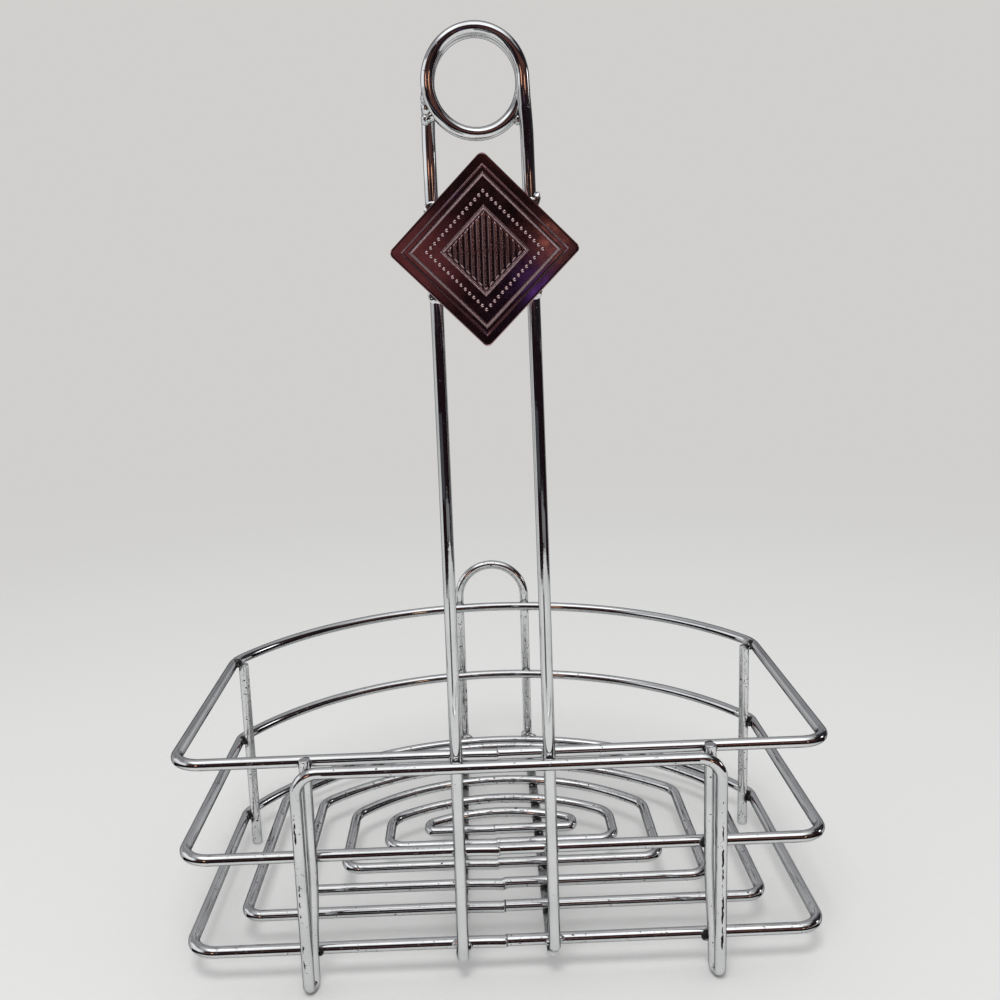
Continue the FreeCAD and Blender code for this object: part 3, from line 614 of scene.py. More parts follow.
def weld_tree():
    n, given = new_tree("PlaceWelds", {"Weld": "Object", "Smallest": "Float",
                                       "Largest": "Float", "Crust": "Float", "Seed": "Int"})
    shape = n.add("GeometryNodeObjectInfo", in_Object=given["Weld"]).outputs["Geometry"]
    turn = n.add("GeometryNodeInputNamedAttribute", data_type="FLOAT_VECTOR", in_Name="turn")
    turn = n.add("FunctionNodeEulerToRotation", turn.outputs["Attribute"])
    size = n.add("FunctionNodeRandomValue", data_type="FLOAT", in_Seed=given["Seed"])
    n.feed(size.inputs[2], given["Smallest"])
    n.feed(size.inputs[3], given["Largest"])
    placed = n.add("GeometryNodeInstanceOnPoints", in_Points=given["Geometry"],
                   in_Instance=shape, in_Rotation=turn, in_Scale=size.outputs[1])
    real = n.add("GeometryNodeRealizeInstances", placed)
    grain = n.add("ShaderNodeTexNoise", in_Vector=n.add("GeometryNodeInputPosition"),
                  in_Scale=CRUST_SCALE, in_Detail=2).outputs["Color"]
    centred = n.add("ShaderNodeVectorMath", grain, (0.5, 0.5, 0.5), operation="SUBTRACT")
    push = n.add("ShaderNodeVectorMath", centred, operation="SCALE", in_Scale=given["Crust"])
    crusty = n.add("GeometryNodeSetPosition", in_Geometry=real, in_Offset=push)
    return end_tree(n, given, crusty)


WELDS = weld_tree()
CROSSING = weld_ring("crossing_weld")

# %% Where the welds are, and how the ring of metal turns to lie between the two wires
# Each turn brings the lower wire's direction (Y) and the upper wire's direction (X) onto the two
# wires that cross there. In most of them an upright wire touches a level one.
FRONT_TURNED = (QUARTER, 0, 0)
OTHER_TURNS = {"floor_welds": (0, 0, 0), "rear_leg_welds": (0, QUARTER, 0)}
fronts = [0] + [nest[1] for nest in NESTS]
backs = [back - radius + math.sqrt(radius ** 2 - ARCH_HALF ** 2)
         for _, _, back, radius, _ in NESTS]
crossings = [(sign, level) for level in LEVELS.values() for sign in (-1, 1)]
spots = {
    "handle_welds": [(leg(s, z), FRONT_Y - HALF, z) for s, z in crossings],
    "strand_welds": [(rear_strand(s, z), FRONT_Y - HALF, z) for s, z in crossings],
    "arch_welds": [(s * ARCH_HALF, ARCH_Y - HALF, z) for s, z in crossings],
    "rail_welds": [(leg(s, RAIL_Z), RAIL_Y + HALF, RAIL_Z) for s in (-1, 1)],
    "floor_welds": [(s * ARCH_HALF, FRONT_Y + y, LOW - HALF)
                    for s in (-1, 1) for y in fronts + backs],
    "rear_leg_welds": [(s * (LEG_X + HALF), LEG_Y, z) for s, z in crossings]}

# %% Put the rings of metal there
WELD_PIECES = {}
for seed, (label, places) in enumerate(spots.items()):
    dots = bpy.data.meshes.new(label + "_dots")
    dots.from_pydata([tuple(v * MM for v in place) for place in places], [], [])
    turns = dots.attributes.new("turn", "FLOAT_VECTOR", "POINT")
    turns.data.foreach_set("vector", OTHER_TURNS.get(label, FRONT_TURNED) * len(places))
    values = {"Weld": CROSSING, "Seed": seed, "Smallest": SMALLEST_WELD,
              "Largest": LARGEST_WELD, "Crust": CRUST, "Finish": BRIGHT}
    WELD_PIECES[label] = baked(new_object(label + "_dots", dots), WELDS, values,
                               label + "_metal")
    print(f"{label}: {len(places)} welds")


# %% [markdown]
# ## Blobs of weld
# Where two wires run side by side, or a wire lies on the plate, there is no neat ring: the metal
# was added by hand and froze as a lump that leans into the corner. Each lump is a ball pulled out
# to size and roughened by noise.

# %% Hand-made weld lumps
LUMP_ROUGH, LUMP_GRAIN, NEXT_SEED = 0.13, 0.039, 3.7


def lump(mesh, place, size, lean, seed):
    """Adds one rough ellipsoid, placed and sized in millimetres, leaning about Y in degrees."""
    made = bmesh.ops.create_icosphere(mesh, subdivisions=4, radius=1.0)["verts"]
    turn = Matrix.Rotation(math.radians(lean), 3, "Y")
    for vert in made:
        way = vert.co.normalized()
        swell = 1 + LUMP_ROUGH * noise.noise(way * 1.4 + Vector((seed, seed * 2, 0)))
        swell += LUMP_GRAIN * noise.noise(way * 3.2 + Vector((0, seed, seed)))
        shaped = turn @ Vector([way[k] * size[k] * swell for k in range(3)])
        vert.co = (Vector(place) + shaped) * MM


def add_lumps(node, *rows):
    """Lumps of weld, joined to the node's rings of metal where it has them."""
    mesh = bmesh.new()
    if node in WELD_PIECES:
        mesh.from_mesh(WELD_PIECES[node].data)
        bpy.data.objects.remove(WELD_PIECES[node])
    for count, row in enumerate(rows, start=1):
        lump(mesh, *row, seed=count * NEXT_SEED)
    name = node + "_metal"
    WELD_PIECES[node] = new_object(name, smooth_mesh(mesh, name))
    WELD_PIECES[node].data.materials.append(BRIGHT)
    print(f"{name}: {len(rows)} lumps, {len(WELD_PIECES[node].data.polygons)} faces")


# %% Lumps at the loop: place, half sizes and lean
BADGE_Z = 296.3
BADGE_BACK = STEM_Y - WIRE_R - 0.2
EYE_LEFT, EYE_RIGHT = EYE_X - GRIP_ACROSS, EYE_X + GRIP_ACROSS
add_lumps("grip_welds",
          ((EYE_LEFT - 0.4, STEM_Y - 0.4, 349.9), (2.3, 2.7, 3.4), 6),
          ((EYE_LEFT - 0.6, STEM_Y - 0.9, 346.2), (2.1, 2.2, 2.9), -8),
          ((EYE_LEFT + 0.8, STEM_Y - 1.1, 343.2), (3.4, 2.1, 1.75), -28),
          ((EYE_RIGHT - 0.5, STEM_Y + 0.3, 349.6), (2.0, 2.3, 2.6), 0),
          ((EYE_RIGHT - 1.6, STEM_Y + 0.6, 341.6), (1.9, 2.0, 1.9), 35),
          ((EYE_LEFT - 1.1, STEM_Y - 0.7, 342.3), (1.8, 2.1, 2.0), 10))

# %% Lumps behind the badge
low_z, high_z, seat = BADGE_Z - 15, BADGE_Z + 15, BADGE_BACK + 0.75
add_lumps("badge_welds",
          ((leg(-1, low_z), seat, low_z), (3.0, 1.2, 3.6), 0),
          ((leg(1, low_z), seat, low_z), (3.1, 1.2, 3.2), 0),
          ((leg(-1, high_z), seat, high_z), (3.0, 1.2, 3.0), 0),
          ((leg(1, high_z), seat, high_z), (3.0, 1.2, 3.8), 0),
          ((leg(1, high_z) + 2.3, BADGE_BACK + 1.5, high_z + 2.2), (1.4, 1.6, 3.0), 12))

# %% Lumps beside the rings of metal at the rings
add_lumps("handle_welds",
          ((leg(-1, LOW) - 2.6, FRONT_Y - 2.2, LOW + 1.6), (2.6, 1.4, 1.1), -32),
          ((leg(-1, LOW) + 2.5, FRONT_Y - 2.4, LOW - 0.6), (1.5, 1.5, 1.6), 0),
          ((leg(1, LOW) + 2.7, FRONT_Y - 2.2, LOW + 1.5), (2.5, 1.4, 1.1), 32),
          ((leg(1, LOW) - 2.4, FRONT_Y - 2.4, LOW - 0.2), (1.3, 1.4, 1.3), 0))
add_lumps("arch_welds",
          ((2.2 - ARCH_HALF, ARCH_Y - 3.2, LOW + 1.6), (3.2, 2.2, 2.4), 20),
          ((ARCH_HALF - 1.8, ARCH_Y - 3.2, LOW + 2.2), (2.2, 2.2, 2.9), -10),
          ((ARCH_HALF + 2.6, ARCH_Y - 3.2, LOW + 1.2), (2.8, 1.9, 1.9), 25))
add_lumps("strand_welds",
          ((rear_strand(1, LOW) - 2.7, FRONT_Y - 2.4, LOW - 0.1), (1.9, 1.7, 2.3), 8),
          ((rear_strand(-1, LOW) + 2.6, FRONT_Y - 2.4, LOW - 0.3), (1.3, 1.5, 1.6), 0),
          ((rear_strand(1, MIDDLE) - 2.4, FRONT_Y - 2.4, MIDDLE), (1.2, 1.5, 1.6), 0))

# %% [markdown]
# ## Badge
# A cast plate that stands on one corner, welded across the two legs of the handle. Its face is a
# relief: a border, a thin line, a row of beads and a reeded lozenge. The plate is built from
# outlines that step inwards from the edge, so the relief can be any height at any place, and the
# beads are put round it by Geometry Nodes and joined on. Its finish is a smoked, red-brown mirror,
# with a painted highlight: a brighter tint on the tops of the relief.

# %% Outline and relief of the plate
PLATE = dict(half=24.75, corner=2.2, thick=1.6, border=3.2, relief=0.5, lozenge=11.0)
BADGE_FRONT = BADGE_BACK - PLATE["thick"]
SIDE_POINTS, CORNER_POINTS = 150, 6
LOZENGE = PLATE["half"] - PLATE["lozenge"]
# Raised lines: height, then the insets where one starts to rise, is up, starts to fall, is down.
FACE_LINES = ((0.42, 5.1, 5.65, 5.75, 6.3),
              (0.46, LOZENGE - 0.5, LOZENGE, LOZENGE + 0.25, LOZENGE + 0.8))
REED, REED_HEIGHT, REED_SHARP = 2.1, 0.40, 1.4


def rounded_square(half, corner):
    """Outline of a square with rounded corners, always with the same number of points."""
    corner = min(corner, half * 0.9)
    flat = half - corner
    rows = [(flat + corner * math.cos(angle), corner * math.sin(angle) - flat)
            for angle in (QUARTER * (k / CORNER_POINTS - 1) for k in range(CORNER_POINTS))]
    rows += [(half, 2 * flat * k / SIDE_POINTS - flat) for k in range(SIDE_POINTS)]
    turns = [(math.cos(quarter * QUARTER), math.sin(quarter * QUARTER)) for quarter in range(4)]
    return [(c * x - s * y, s * x + c * y) for c, s in turns for x, y in rows]


def relief(u, v):
    """Depth of the face below the front of the plate, in millimetres."""
    inside = PLATE["half"] - max(abs(u), abs(v))
    depth = PLATE["relief"] * eased(PLATE["border"], PLATE["border"] + 0.5, inside)
    for height, rises, up, falls, down in FACE_LINES:
        depth -= height * (eased(rises, up, inside) - eased(falls, down, inside))
    across = (u - v) / math.sqrt(2)
    reed = REED_HEIGHT * abs(math.cos(math.pi * across / REED)) ** REED_SHARP
    return depth - reed * eased(LOZENGE + 1.0, LOZENGE + 1.6, inside)


# %% The plate
EDGE_ROUND, BACK_BREAK = 0.4, 0.15
# Insets of the outlines on the face: from, to and step. They are close where the relief is steep.
FACE_STEPS = ((0.9, 3.1, 0.7), (3.15, 3.8, 0.1), (4.1, 5.0, 0.4), (5.05, 6.4, 0.09),
              (6.8, 13.0, 0.7), (13.15, 14.8, 0.09), (14.85, 24.6, 0.16))


def plate_mesh(name):
    half, corner, thick = PLATE["half"], PLATE["corner"], PLATE["thick"]
    mesh = bmesh.new()

    def spot(u, v, lift):
        x, z = (u - v) / math.sqrt(2), (u + v) / math.sqrt(2)
        return mesh.verts.new((x * MM, (BADGE_BACK - lift) * MM, (BADGE_Z + z) * MM))

    rings = [(half - BACK_BREAK - 3, 0.0), (half - BACK_BREAK, 0.0), (half, BACK_BREAK),
             (half, thick - EDGE_ROUND)]
    for angle in (QUARTER * k / 4 for k in range(1, 5)):
        rings.append((half - EDGE_ROUND * (1 - math.cos(angle)),
                      thick - EDGE_ROUND * (1 - math.sin(angle))))
    loops = [[spot(u, v, lift) for u, v in rounded_square(size, corner)] for size, lift in rings]
    for inset in np.concatenate([np.arange(*steps) for steps in FACE_STEPS]):
        outline = rounded_square(half - inset, max(corner - inset, 0.25))
        loops.append([spot(u, v, thick - relief(u, v)) for u, v in outline])
    skinned(mesh, loops, spot(0, 0, 0.0), spot(0, 0, thick - relief(0, 0)))
    return smooth_mesh(mesh, name)


# %% Beads round the face, put there by Geometry Nodes
def bead_tree():
    n, given = new_tree("BeadTheFace", {"Half side": "Float", "Beads": "Int",
                                        "Bead radius": "Float"})
    side = n.times(given["Half side"], 2.0)
    square = n.add("GeometryNodeCurvePrimitiveQuadrilateral", in_Width=side, in_Height=side)
    standing = n.add("GeometryNodeTransform", in_Geometry=square,
                     in_Translation=(0, (BADGE_FRONT + PLATE["relief"]) * MM, BADGE_Z * MM),
                     in_Rotation=(QUARTER, QUARTER / 2, 0))
    spread = n.add("GeometryNodeResampleCurve", in_Curve=standing, in_Count=given["Beads"])
    ball = n.add("GeometryNodeMeshIcoSphere", in_Radius=given["Bead radius"], in_Subdivisions=3)
    soft = n.add("GeometryNodeSetShadeSmooth", in_Geometry=ball)
    beads = n.add("GeometryNodeInstanceOnPoints", in_Points=spread, in_Instance=soft)
    both = n.add("GeometryNodeJoinGeometry", beads)
    n.feed(both.inputs[0], given["Geometry"])
    return end_tree(n, given, both)


# %% Smoked metal for the badge
def smoked(name):
    material, n = new_material(name)
    place = n.add("ShaderNodeTexCoord").outputs["Object"]
    cloud = n.noise(place, 60, 3.0)
    tint = n.mix(n.fade(cloud, 0.35, 0.7), (0.37, 0.235, 0.25, 1), (0.28, 0.165, 0.18, 1))
    # Painted highlight: the tops of the relief inside the border get a brighter tint, and a little
    # more roughness.
    x, y, z = n.add("ShaderNodeSeparateXYZ", place).outputs
    spread = n.plus(n.math("ABSOLUTE", x),
                    n.math("ABSOLUTE", n.math("SUBTRACT", z, BADGE_Z * MM)))
    top, dip = (BADGE_FRONT + 0.10) * MM, (BADGE_FRONT + 0.34) * MM
    painted_relief_highlight = n.times(n.fade(spread, 0.0288, 0.0294, 1.0, 0.0), n.fade(y, top, dip, 1.0, 0.0))
    tint = n.mix(painted_relief_highlight, tint, (0.66, 0.50, 0.52, 1))
    rough = n.plus(n.fade(n.noise(place, 240, 3.0), 0.3, 0.7, 0.06, 0.11), n.times(painted_relief_highlight, 0.12))
    height = n.plus(n.noise(place, 45, 1.0), n.times(n.noise(place, 900), 0.02))
    bump = n.add("ShaderNodeBump", in_Strength=0.22, in_Distance=RELIEF_HEIGHT, in_Height=height)
    shader = n.add("ShaderNodeBsdfPrincipled", in_Base_Color=tint, in_Metallic=1.0,
                   in_Roughness=rough, in_Normal=bump)
    n.add("ShaderNodeOutputMaterial", in_Surface=shader)
    print(f"{name}: {len(n.tree.nodes)} nodes")
    return material


BEADS = {"Half side": 0.0148, "Beads": 56, "Bead radius": 0.0007}
BADGE = baked(new_object("badge_source", plate_mesh("badge_plate")), bead_tree(),
              {**BEADS, "Finish": smoked("SmokedMetal")}, "badge_plate")
print("badge:", len(BADGE.data.polygons), "faces")

# %% [markdown]
# ## Wear and painted shade
# Where the plating has suffered is a matter of place, so it is worked out from the mesh: soot
# round the welds, pits on the floor rings and the arch, one line of long pits down each front
# strand, where racks rub against each other, and long pits on the legs of the arch, which are
# partly painted shade. The cross wires get painted shade where they lie under the floor rings.
# Each is stored as a number on the points of the wire, and the finish reads it.

# %% How much soot, painted shade and pits each piece has
SOOT = {"handle_welds": 0.5, "strand_welds": 0.3, "arch_welds": 0.7, "rail_welds": 0.12,
        "floor_welds": 1.0, "rear_leg_welds": 1.0}
# The darkening of the cross wires under the floor rings is painted shade, carried with the soot.
SOOT_REACH, CROSS_WIRE_SHADE, LINE_SOOT, LINE_WIDTH = 3.5, 0.30, 0.9, 0.22
METAL_SOOT = {"strand_welds": 0.9, "handle_welds": 0.15, "arch_welds": 0.3, "grip_welds": 0.12,
              "badge_welds": 0.15}
OTHER_METAL_SOOT, METAL_PITS = 0.7, 0.3
PITS = {"bottom_ring": 0.33, "middle_ring": 0.28, "top_ring": 0.24, "rear_arch": 0.42,
        "rear_leg_left": 0.44, "rear_leg_right": 0.44, "front_frame": 0.30, "handle": 0.14}
FLOOR_PITS, FLOOR_PITS_BEHIND = 0.34, 0.13
STREAKS = ((-1, -20.0), (1, 5.0))  # side of the frame, and degrees round the strand
STREAK_WIDTH, STREAK_MIDDLE, STREAK_HALF = 17, 46, 44


def vertices(piece):
    co = np.zeros(len(piece.data.vertices) * 3)
    piece.data.vertices.foreach_get("co", co)
    return co.reshape(-1, 3) / MM


def store(piece, **attributes):
    for name, values in attributes.items():
        values = np.broadcast_to(values, len(piece.data.vertices))
        attribute = piece.data.attributes.new(name, "FLOAT", "POINT")
        attribute.data.foreach_set("value", np.clip(values, 0, 1).astype(np.float32))


# %% Soot round the welds and in a fine line at the front of the rings, and painted shade on the cross wires under the floor rings
def soot_and_shade_amount(name, co):
    total = np.zeros(len(co))
    x, y, z = co.T
    for label, places in spots.items():
        for place in places:
            right_strand = label == "strand_welds" and place[0] > 0 and place[2] < HIGH - 5
            far = np.linalg.norm(co - np.array(place), axis=1)
            strong = 1.0 if right_strand else SOOT[label]
            total = np.maximum(total, strong * np.exp(-(far / SOOT_REACH) ** 4))
    # Painted shade: the middle of the cross wires, where they lie under the floor rings, is
    # darkened.
    if name == "rear_arch":
        under = (z < CROSS_Z + 3) & (y > FRONT_Y + 15) & (y < ARCH_Y - 30)
        total = np.maximum(total, CROSS_WIRE_SHADE * under)
    if name in RING_LINES:
        total = np.maximum(total, LINE_SOOT * np.exp(-(x / LINE_WIDTH) ** 2) * (y < 20))
    return total


# %% Streaks down the front strands, and on the legs of the arch streaks that are partly painted shade
def frame_streaks(x, y, z):
    total = np.zeros(len(x))
    for sign, aim in STREAKS:
        aside = x - (FRAME_SHIFT + sign * STRAND_HALF)
        angle = np.degrees(np.arctan2(aside, RAIL_Y - y))
        on_strand = (np.abs(aside) < 3) & (y < RAIL_Y + WIRE_R)
        height = np.exp(-((z - STREAK_MIDDLE) / STREAK_HALF) ** 6)
        round_it = np.exp(-((angle - aim) / STREAK_WIDTH) ** 4)
        total = np.maximum(total, on_strand * height * round_it)
    return total


def arch_streaks(x, y, z):
    # Long pits on the legs of the arch, stronger low down. They also darken the legs where the
    # chrome should mirror something dark, so they are partly painted shade.
    on_leg = (z > LOW + 2) & (z < HIGH - 3) & (y > ARCH_Y - 4) & (y < ARCH_Y)
    on_leg &= np.abs(x) > ARCH_HALF - 3
    return on_leg * (0.66 - 0.26 * np.clip((z - 45) / 30, 0, 1))


# %% Store the wear on every piece
STREAKED = {"front_frame": frame_streaks, "rear_arch": arch_streaks}
for name, piece in WIRES.items():
    co = vertices(piece)
    wear = PITS.get(name, FLOOR_PITS)
    if name.startswith("floor"):
        wear = wear + FLOOR_PITS_BEHIND * (co[:, 1] > co[:, 1].min() + 14)
    streak = STREAKED[name](*co.T) if name in STREAKED else 0.0
    store(piece, burn=soot_and_shade_amount(name, co), wear=wear, streak=streak)
for name, piece in WELD_PIECES.items():
    store(piece, burn=METAL_SOOT.get(name, OTHER_METAL_SOOT), wear=METAL_PITS, streak=0.0)
print("worn pieces:", len(WIRES) + len(WELD_PIECES))

# %% [markdown]
# ## What stands for what
# Each finished mesh rides on the one body of the part and hides the CAD node that it stands for.

# %% Hand the pieces over
bpy.data.objects.remove(CROSSING)
for slot, pieces in (("wire", WIRES), ("weld", WELD_PIECES), ("badge", {"badge": BADGE})):
    for name, piece in pieces.items():
        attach(piece, BODY)
        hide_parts(name)
    print(f"{slot}: {len(pieces)} pieces")

# %% [markdown]
# ## Studio
# Chrome shows its surroundings, so the studio matters as much as the metal. The floor is pale and
# plain and fades into the background. For mirror reflections only, the world has a dark side in
# front, as a room behind the camera would be, a bright ceiling and pale walls. Cards on the floor
# end the pale ground where that dark room starts, and thin flags give each level wire its black
# line, so that every wire has its white band and its black band. One soft lamp gives the floor the
# shadow of the caddy.

# %% Flat sheets and cards around the caddy
BACKGROUND = (0.635, 0.625, 0.612, 1)
HIDDEN_FROM = ("camera", "diffuse", "shadow", "transmission")


def stage_sheet(name, polygons, material):
    corners = [corner for polygon in polygons for corner in polygon]
    starts = np.cumsum([0] + [len(polygon) for polygon in polygons])
    data = bpy.data.meshes.new(name)
    data.from_pydata(corners, [], [tuple(range(a, b)) for a, b in zip(starts, starts[1:])])
    data.materials.append(material)
    sheet = new_object(name, data)
    print(f"{name}: {len(polygons)} faces")
    return sheet


def card(name, polygons, colour):
    """Glowing faces in one colour that only mirrors see."""
    material, n = new_material(name)
    glow = n.add("ShaderNodeEmission", in_Color=(*colour, 1), in_Strength=1.0)
    n.add("ShaderNodeOutputMaterial", in_Surface=glow)
    sheet = stage_sheet(name, polygons, material)
    for kind in HIDDEN_FROM:
        setattr(sheet, "visible_" + kind, False)


# %% Floor that fades into the background
FLOOR_REACH, FADE_FROM, FADE_TO = 6.0, 0.28, 1.3


def pale_floor():
    material, n = new_material("PaleFloor")
    place = n.add("ShaderNodeTexCoord").outputs["Object"]
    away = n.add("ShaderNodeVectorMath", place, operation="LENGTH").outputs["Value"]
    weave = n.noise(place, 260, 2.0, 0.6, stretch=(1, 6, 1))
    colour = n.mix(weave, (0.775, 0.778, 0.768, 1), (0.825, 0.828, 0.818, 1))
    cloth = n.add("ShaderNodeBsdfDiffuse", in_Color=colour)
    glow = n.add("ShaderNodeEmission", in_Color=BACKGROUND, in_Strength=1.0)
    seen = n.add("ShaderNodeLightPath").outputs["Is Camera Ray"]
    faded = n.times(n.fade(away, FADE_FROM, FADE_TO), seen)
    blend = n.add("ShaderNodeMixShader", faded, cloth, glow)
    n.add("ShaderNodeOutputMaterial", in_Surface=blend)
    return material


edge = [(FLOOR_REACH * math.cos(a), FLOOR_REACH * math.sin(a), 0)
        for a in np.linspace(0, 2 * math.pi, 64, endpoint=False)]
stage_sheet("floor", [edge], pale_floor())


# %% Cards on the floor in front
# The pale cloth ends well in front of the rack, sooner on the left, and the room behind it is dark.
# Places are a distance in metres from the handle and a turn in degrees to the right of straight
# ahead: first those along the near edge of the card, then those along its far edge. Each card lies
# a little higher than the one before.
def floor_card(name, near, far, colour, lift):
    card(name, [[(distance * math.sin(turn), STEM_Y * MM - distance * math.cos(turn), lift)
                 for distance, turn in ((d, math.radians(t)) for d, t in (*near, *far[::-1]))]],
         colour)


def arc(distance, *turns):
    return [(distance, turn) for turn in turns]


floor_card("dark_floor", ((0.60, -64), (0.595, -45), (0.60, -25), (0.64, -8), (0.74, 10),
                          (0.80, 40), (0.74, 62), (0.68, 90), (0.66, 125)),
           arc(6.4, -64, -30, 20, 70, 125), (0.012, 0.006, 0.0085), 0.002)
floor_card("dim_floor", ((1.05, -62), (1.05, -40), (1.05, -15), (1.08, -2)),
           arc(2.0, -62, -40, -15, -2), (0.066, 0.068, 0.076), 0.003)
floor_card("dull_floor", ((0.80, 2), (0.81, 30), (0.78, 62)), ((1.05, 2), (1.1, 30), (1.0, 62)),
           (0.20, 0.20, 0.205), 0.003)
floor_card("shade_strip", arc(0.33, -30, 0), arc(0.58, -26, 0), (0.12, 0.12, 0.125), 0.003)
near_line = np.array([(0.272 + 0.036 * (abs(turn - 8) / 45) ** 1.3, turn)
                      for turn in range(-36, 65, 4)])
floor_card("near_line", near_line, near_line + (0.009, 0.0), (0.02, 0.02, 0.022), 0.004)
floor_card("near_glint", arc(0.281, -4, 20), arc(0.290, -2, 18), (1.8, 1.8, 1.8), 0.005)

# %% Flags: thin black strips just in front of the level wires
# A flag is a black card held close to a shiny thing, to give it a dark line. Each strip follows
# the middle line of its wire, a little way in front of it.
FLAG_AHEAD = 4.5
FLAG_BLACK, FLAG_GREY = (-0.95, 0.6), (-1.45, -0.95)
RAIL_FLAG = (-74, 76)


def ribbon(line, low, high):
    line = [(x * MM, (y - FLAG_AHEAD) * MM, z * MM) for x, y, z in line]
    return [[(*a[:2], a[2] + low * MM), (*b[:2], b[2] + low * MM), (*b[:2], b[2] + high * MM),
             (*a[:2], a[2] + high * MM)] for a, b in zip(line, line[1:])]


flagged = [[*line, line[0]] for line in RING_LINES.values()]
flagged.append([(FRAME_SHIFT + x, RAIL_Y, RAIL_Z) for x in RAIL_FLAG])
for name, heights, colour in (("black_flags", FLAG_BLACK, (0.010, 0.007, 0.008)),
                              ("grey_flags", FLAG_GREY, (0.12, 0.12, 0.12))):
    card(name, [face for line in flagged for face in ribbon(line, *heights)], colour)


# %% The room that the chrome mirrors
# Small lit things in the room, which the badge, the loop and the bends pick up: turn, rise, half
# width and half height in degrees, and colour.
SMALL_THINGS = ((-4.5, 1.2, 4.0, 3.2, (0.26, 0.105, 0.105, 1)),
                (3.5, -0.3, 0.9, 1.0, (0.26, 0.14, 0.75, 1)),
                (4.0, 2.0, 0.6, 1.0, (0.95, 0.45, 0.32, 1)),
                (-24, 9, 4, 5, (1.9, 0.95, 0.6, 1)),
                (29, 8, 3, 4, (2.4, 1.4, 0.9, 1)),
                (96, 14, 6, 6, (3.5, 3.5, 3.5, 1)))


def room(n, way):
    """Colour of the room in each direction, from its turn off straight ahead and its rise."""
    x, y, z = n.add("ShaderNodeSeparateXYZ", way).outputs
    ahead = n.times(y, -1.0)
    turn, rise = n.math("ARCTAN2", x, ahead), n.math("ARCSINE", z)

    def slope(value, low, high, first=0.0, last=1.0):
        """Fade of an angle, with its limits in degrees."""
        return n.fade(value, math.radians(low), math.radians(high), first, last)

    def window(value, low, high, soft):
        """1 between low and high degrees, with soft edges."""
        return n.times(slope(value, low - soft, low + soft),
                       slope(value, high - soft, high + soft, 1.0, 0.0))

    def off(value, middle, half):
        """Square of the distance from the middle, in halves."""
        aside = n.math("SUBTRACT", value, math.radians(middle))
        return n.math("POWER", n.math("DIVIDE", aside, math.radians(half)), 2.0)

    # Pale walls, duller higher up and behind.
    clutter = n.fade(n.noise(way, 2.6, 3.0, 0.55), 0.38, 0.62)
    low_wall = n.mix(clutter, (0.46, 0.46, 0.47, 1), (0.70, 0.70, 0.71, 1))
    high_wall = n.mix(clutter, (0.24, 0.24, 0.25, 1), (0.52, 0.52, 0.54, 1))
    colour = n.mix(slope(rise, 16, 24), low_wall, high_wall)
    colour = n.mix(slope(rise, 44, 60), colour, (0.56, 0.565, 0.57, 1))
    # A bright window on the left, and a door frame on the right.
    lit = n.times(window(turn, -118, -58, 5), window(rise, 4, 30, 2))
    colour = n.mix(lit, colour, (1.0, 1.01, 1.03, 1))
    frame_side = n.times(window(turn, 72, 135, 4), window(rise, -90, 48, 3))
    colour = n.mix(frame_side, colour, (0.03, 0.03, 0.035, 1))
    # The dark half of the room in front, with warm brown things at eye level.
    dark = n.times(window(turn, -55, 92, 8), slope(rise, 33, 40, 1.0, 0.0))
    warm = n.times(n.fade(n.noise(way, 6.0, 3.0), 0.42, 0.62), window(rise, 6, 26, 2))
    shelves = n.mix(warm, (0.014, 0.010, 0.012, 1), (0.150, 0.058, 0.045, 1))
    colour = n.mix(dark, colour, shelves)
    # A bright ceiling light in front and overhead.
    sky = n.times(slope(rise, 40, 47), n.fade(ahead, -0.06, 0.10))
    sky = n.times(sky, n.fade(n.math("ABSOLUTE", x), 0.42, 0.66, 1.0, 0.0))
    lamps = n.mix(n.fade(n.noise(way, 1.7), 0.35, 0.6), (1.15, 1.15, 1.15, 1),
                  (1.9, 1.9, 1.92, 1))
    colour = n.mix(sky, colour, lamps)
    for middle, up, wide, tall, light in SMALL_THINGS:
        near = n.plus(off(turn, middle, wide), off(rise, up, tall))
        colour = n.mix(n.fade(near, 0.35, 1.3, 1.0, 0.0), colour, light)
    return colour


# %% World: plain light for the caddy, the room for its mirror, and a plain background
PLAIN_LIGHT = 0.75


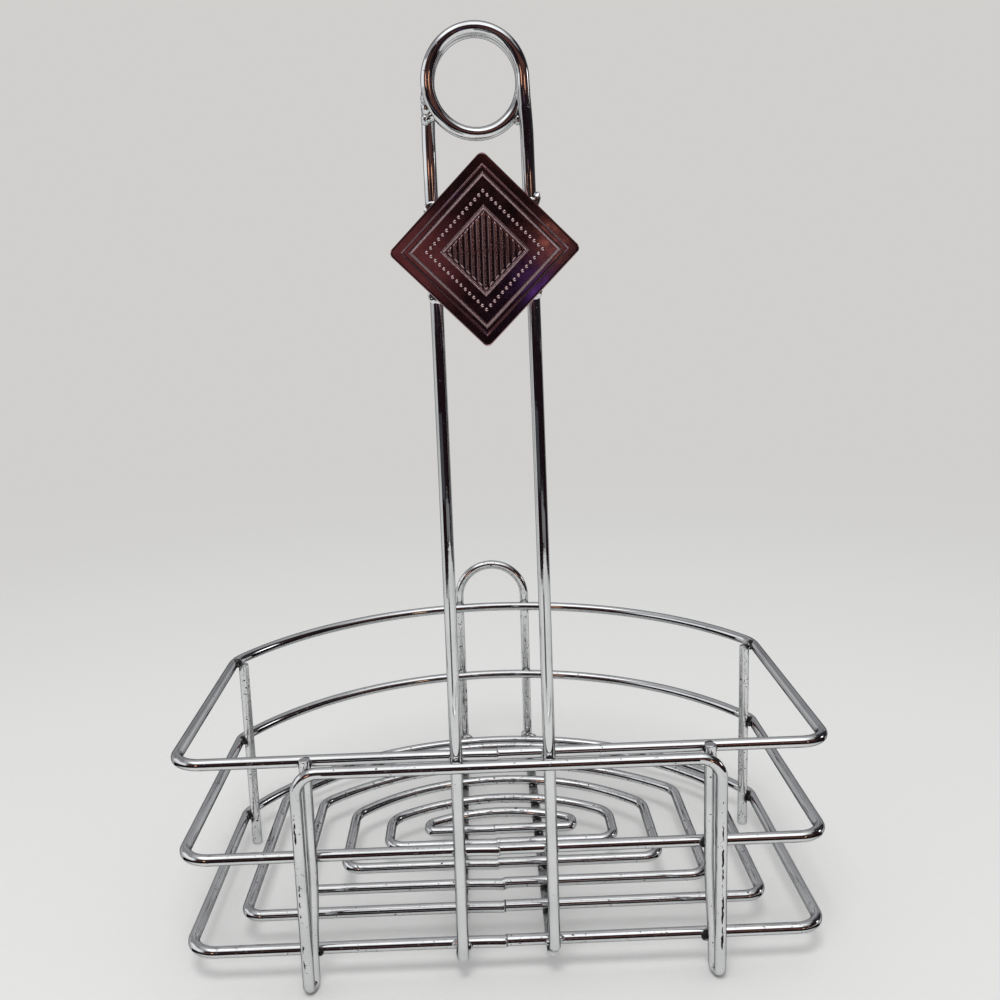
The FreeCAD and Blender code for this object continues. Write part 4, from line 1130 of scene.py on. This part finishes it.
def studio(world):
    world.use_nodes = True
    n = Nodes(world.node_tree)
    path = n.add("ShaderNodeLightPath").outputs
    inside = room(n, n.add("ShaderNodeTexCoord").outputs["Generated"])
    mirror = n.add("ShaderNodeBackground", in_Color=inside, in_Strength=1.0)
    plain = n.add("ShaderNodeBackground", in_Color=(1.0, 1.0, 1.0, 1), in_Strength=PLAIN_LIGHT)
    seen = n.add("ShaderNodeBackground", in_Color=BACKGROUND, in_Strength=1.0)
    lit = n.add("ShaderNodeMixShader", path["Is Glossy Ray"], plain, mirror)
    shown = n.add("ShaderNodeMixShader", path["Is Camera Ray"], lit, seen)
    n.add("ShaderNodeOutputWorld", in_Surface=shown)
    print("studio:", len(n.tree.nodes), "nodes")


world = bpy.data.worlds.new("Studio")
bpy.context.scene.world = world
studio(world)

# %% One soft lamp above and in front
LAMP_AT, LAMP_SIZE, LAMP_POWER = Vector((-0.06, -0.62, 1.15)), 0.42, 4.4
lamp_data = bpy.data.lights.new("overhead", "AREA")
lamp_data.shape = "DISK"
lamp_data.size = LAMP_SIZE
lamp_data.energy = LAMP_POWER
lamp = new_object("overhead", lamp_data)
lamp.location = LAMP_AT
lamp.rotation_euler = LAMP_AT.to_track_quat("Z", "Y").to_euler()
lamp.visible_glossy = False
print(f"lamp: {LAMP_POWER} W, {LAMP_AT.length:.2f} m away")

# %% [markdown]
# ## Camera
# The lens and the place of the camera are those of a phone held a little above the rack.

# %% Camera
LENS_PIXELS, PICTURE, SENSOR = 1100.3, 1000, 36.0  # the focal length is given in pixels
CAMERA_AT = (-4.90, -515.03, 285.30)
PITCH, YAW, ROLL = 11.234, -1.065, -1.797
camera_data = bpy.data.cameras.new("camera")
camera_data.sensor_width = SENSOR
camera_data.lens = LENS_PIXELS / PICTURE * SENSOR
camera_data.clip_start = 0.01
camera = new_object("camera", camera_data)
bpy.context.scene.camera = camera
look = (Matrix.Rotation(math.radians(YAW), 3, "Z")
        @ Matrix.Rotation(math.radians(90 - PITCH), 3, "X")
        @ Matrix.Rotation(math.radians(ROLL), 3, "Z"))
camera.matrix_world = Matrix.Translation(Vector(CAMERA_AT) * MM) @ look.to_4x4()
bpy.context.scene.view_settings.view_transform = "Standard"
print(f"lens: {camera_data.lens:.1f} mm")
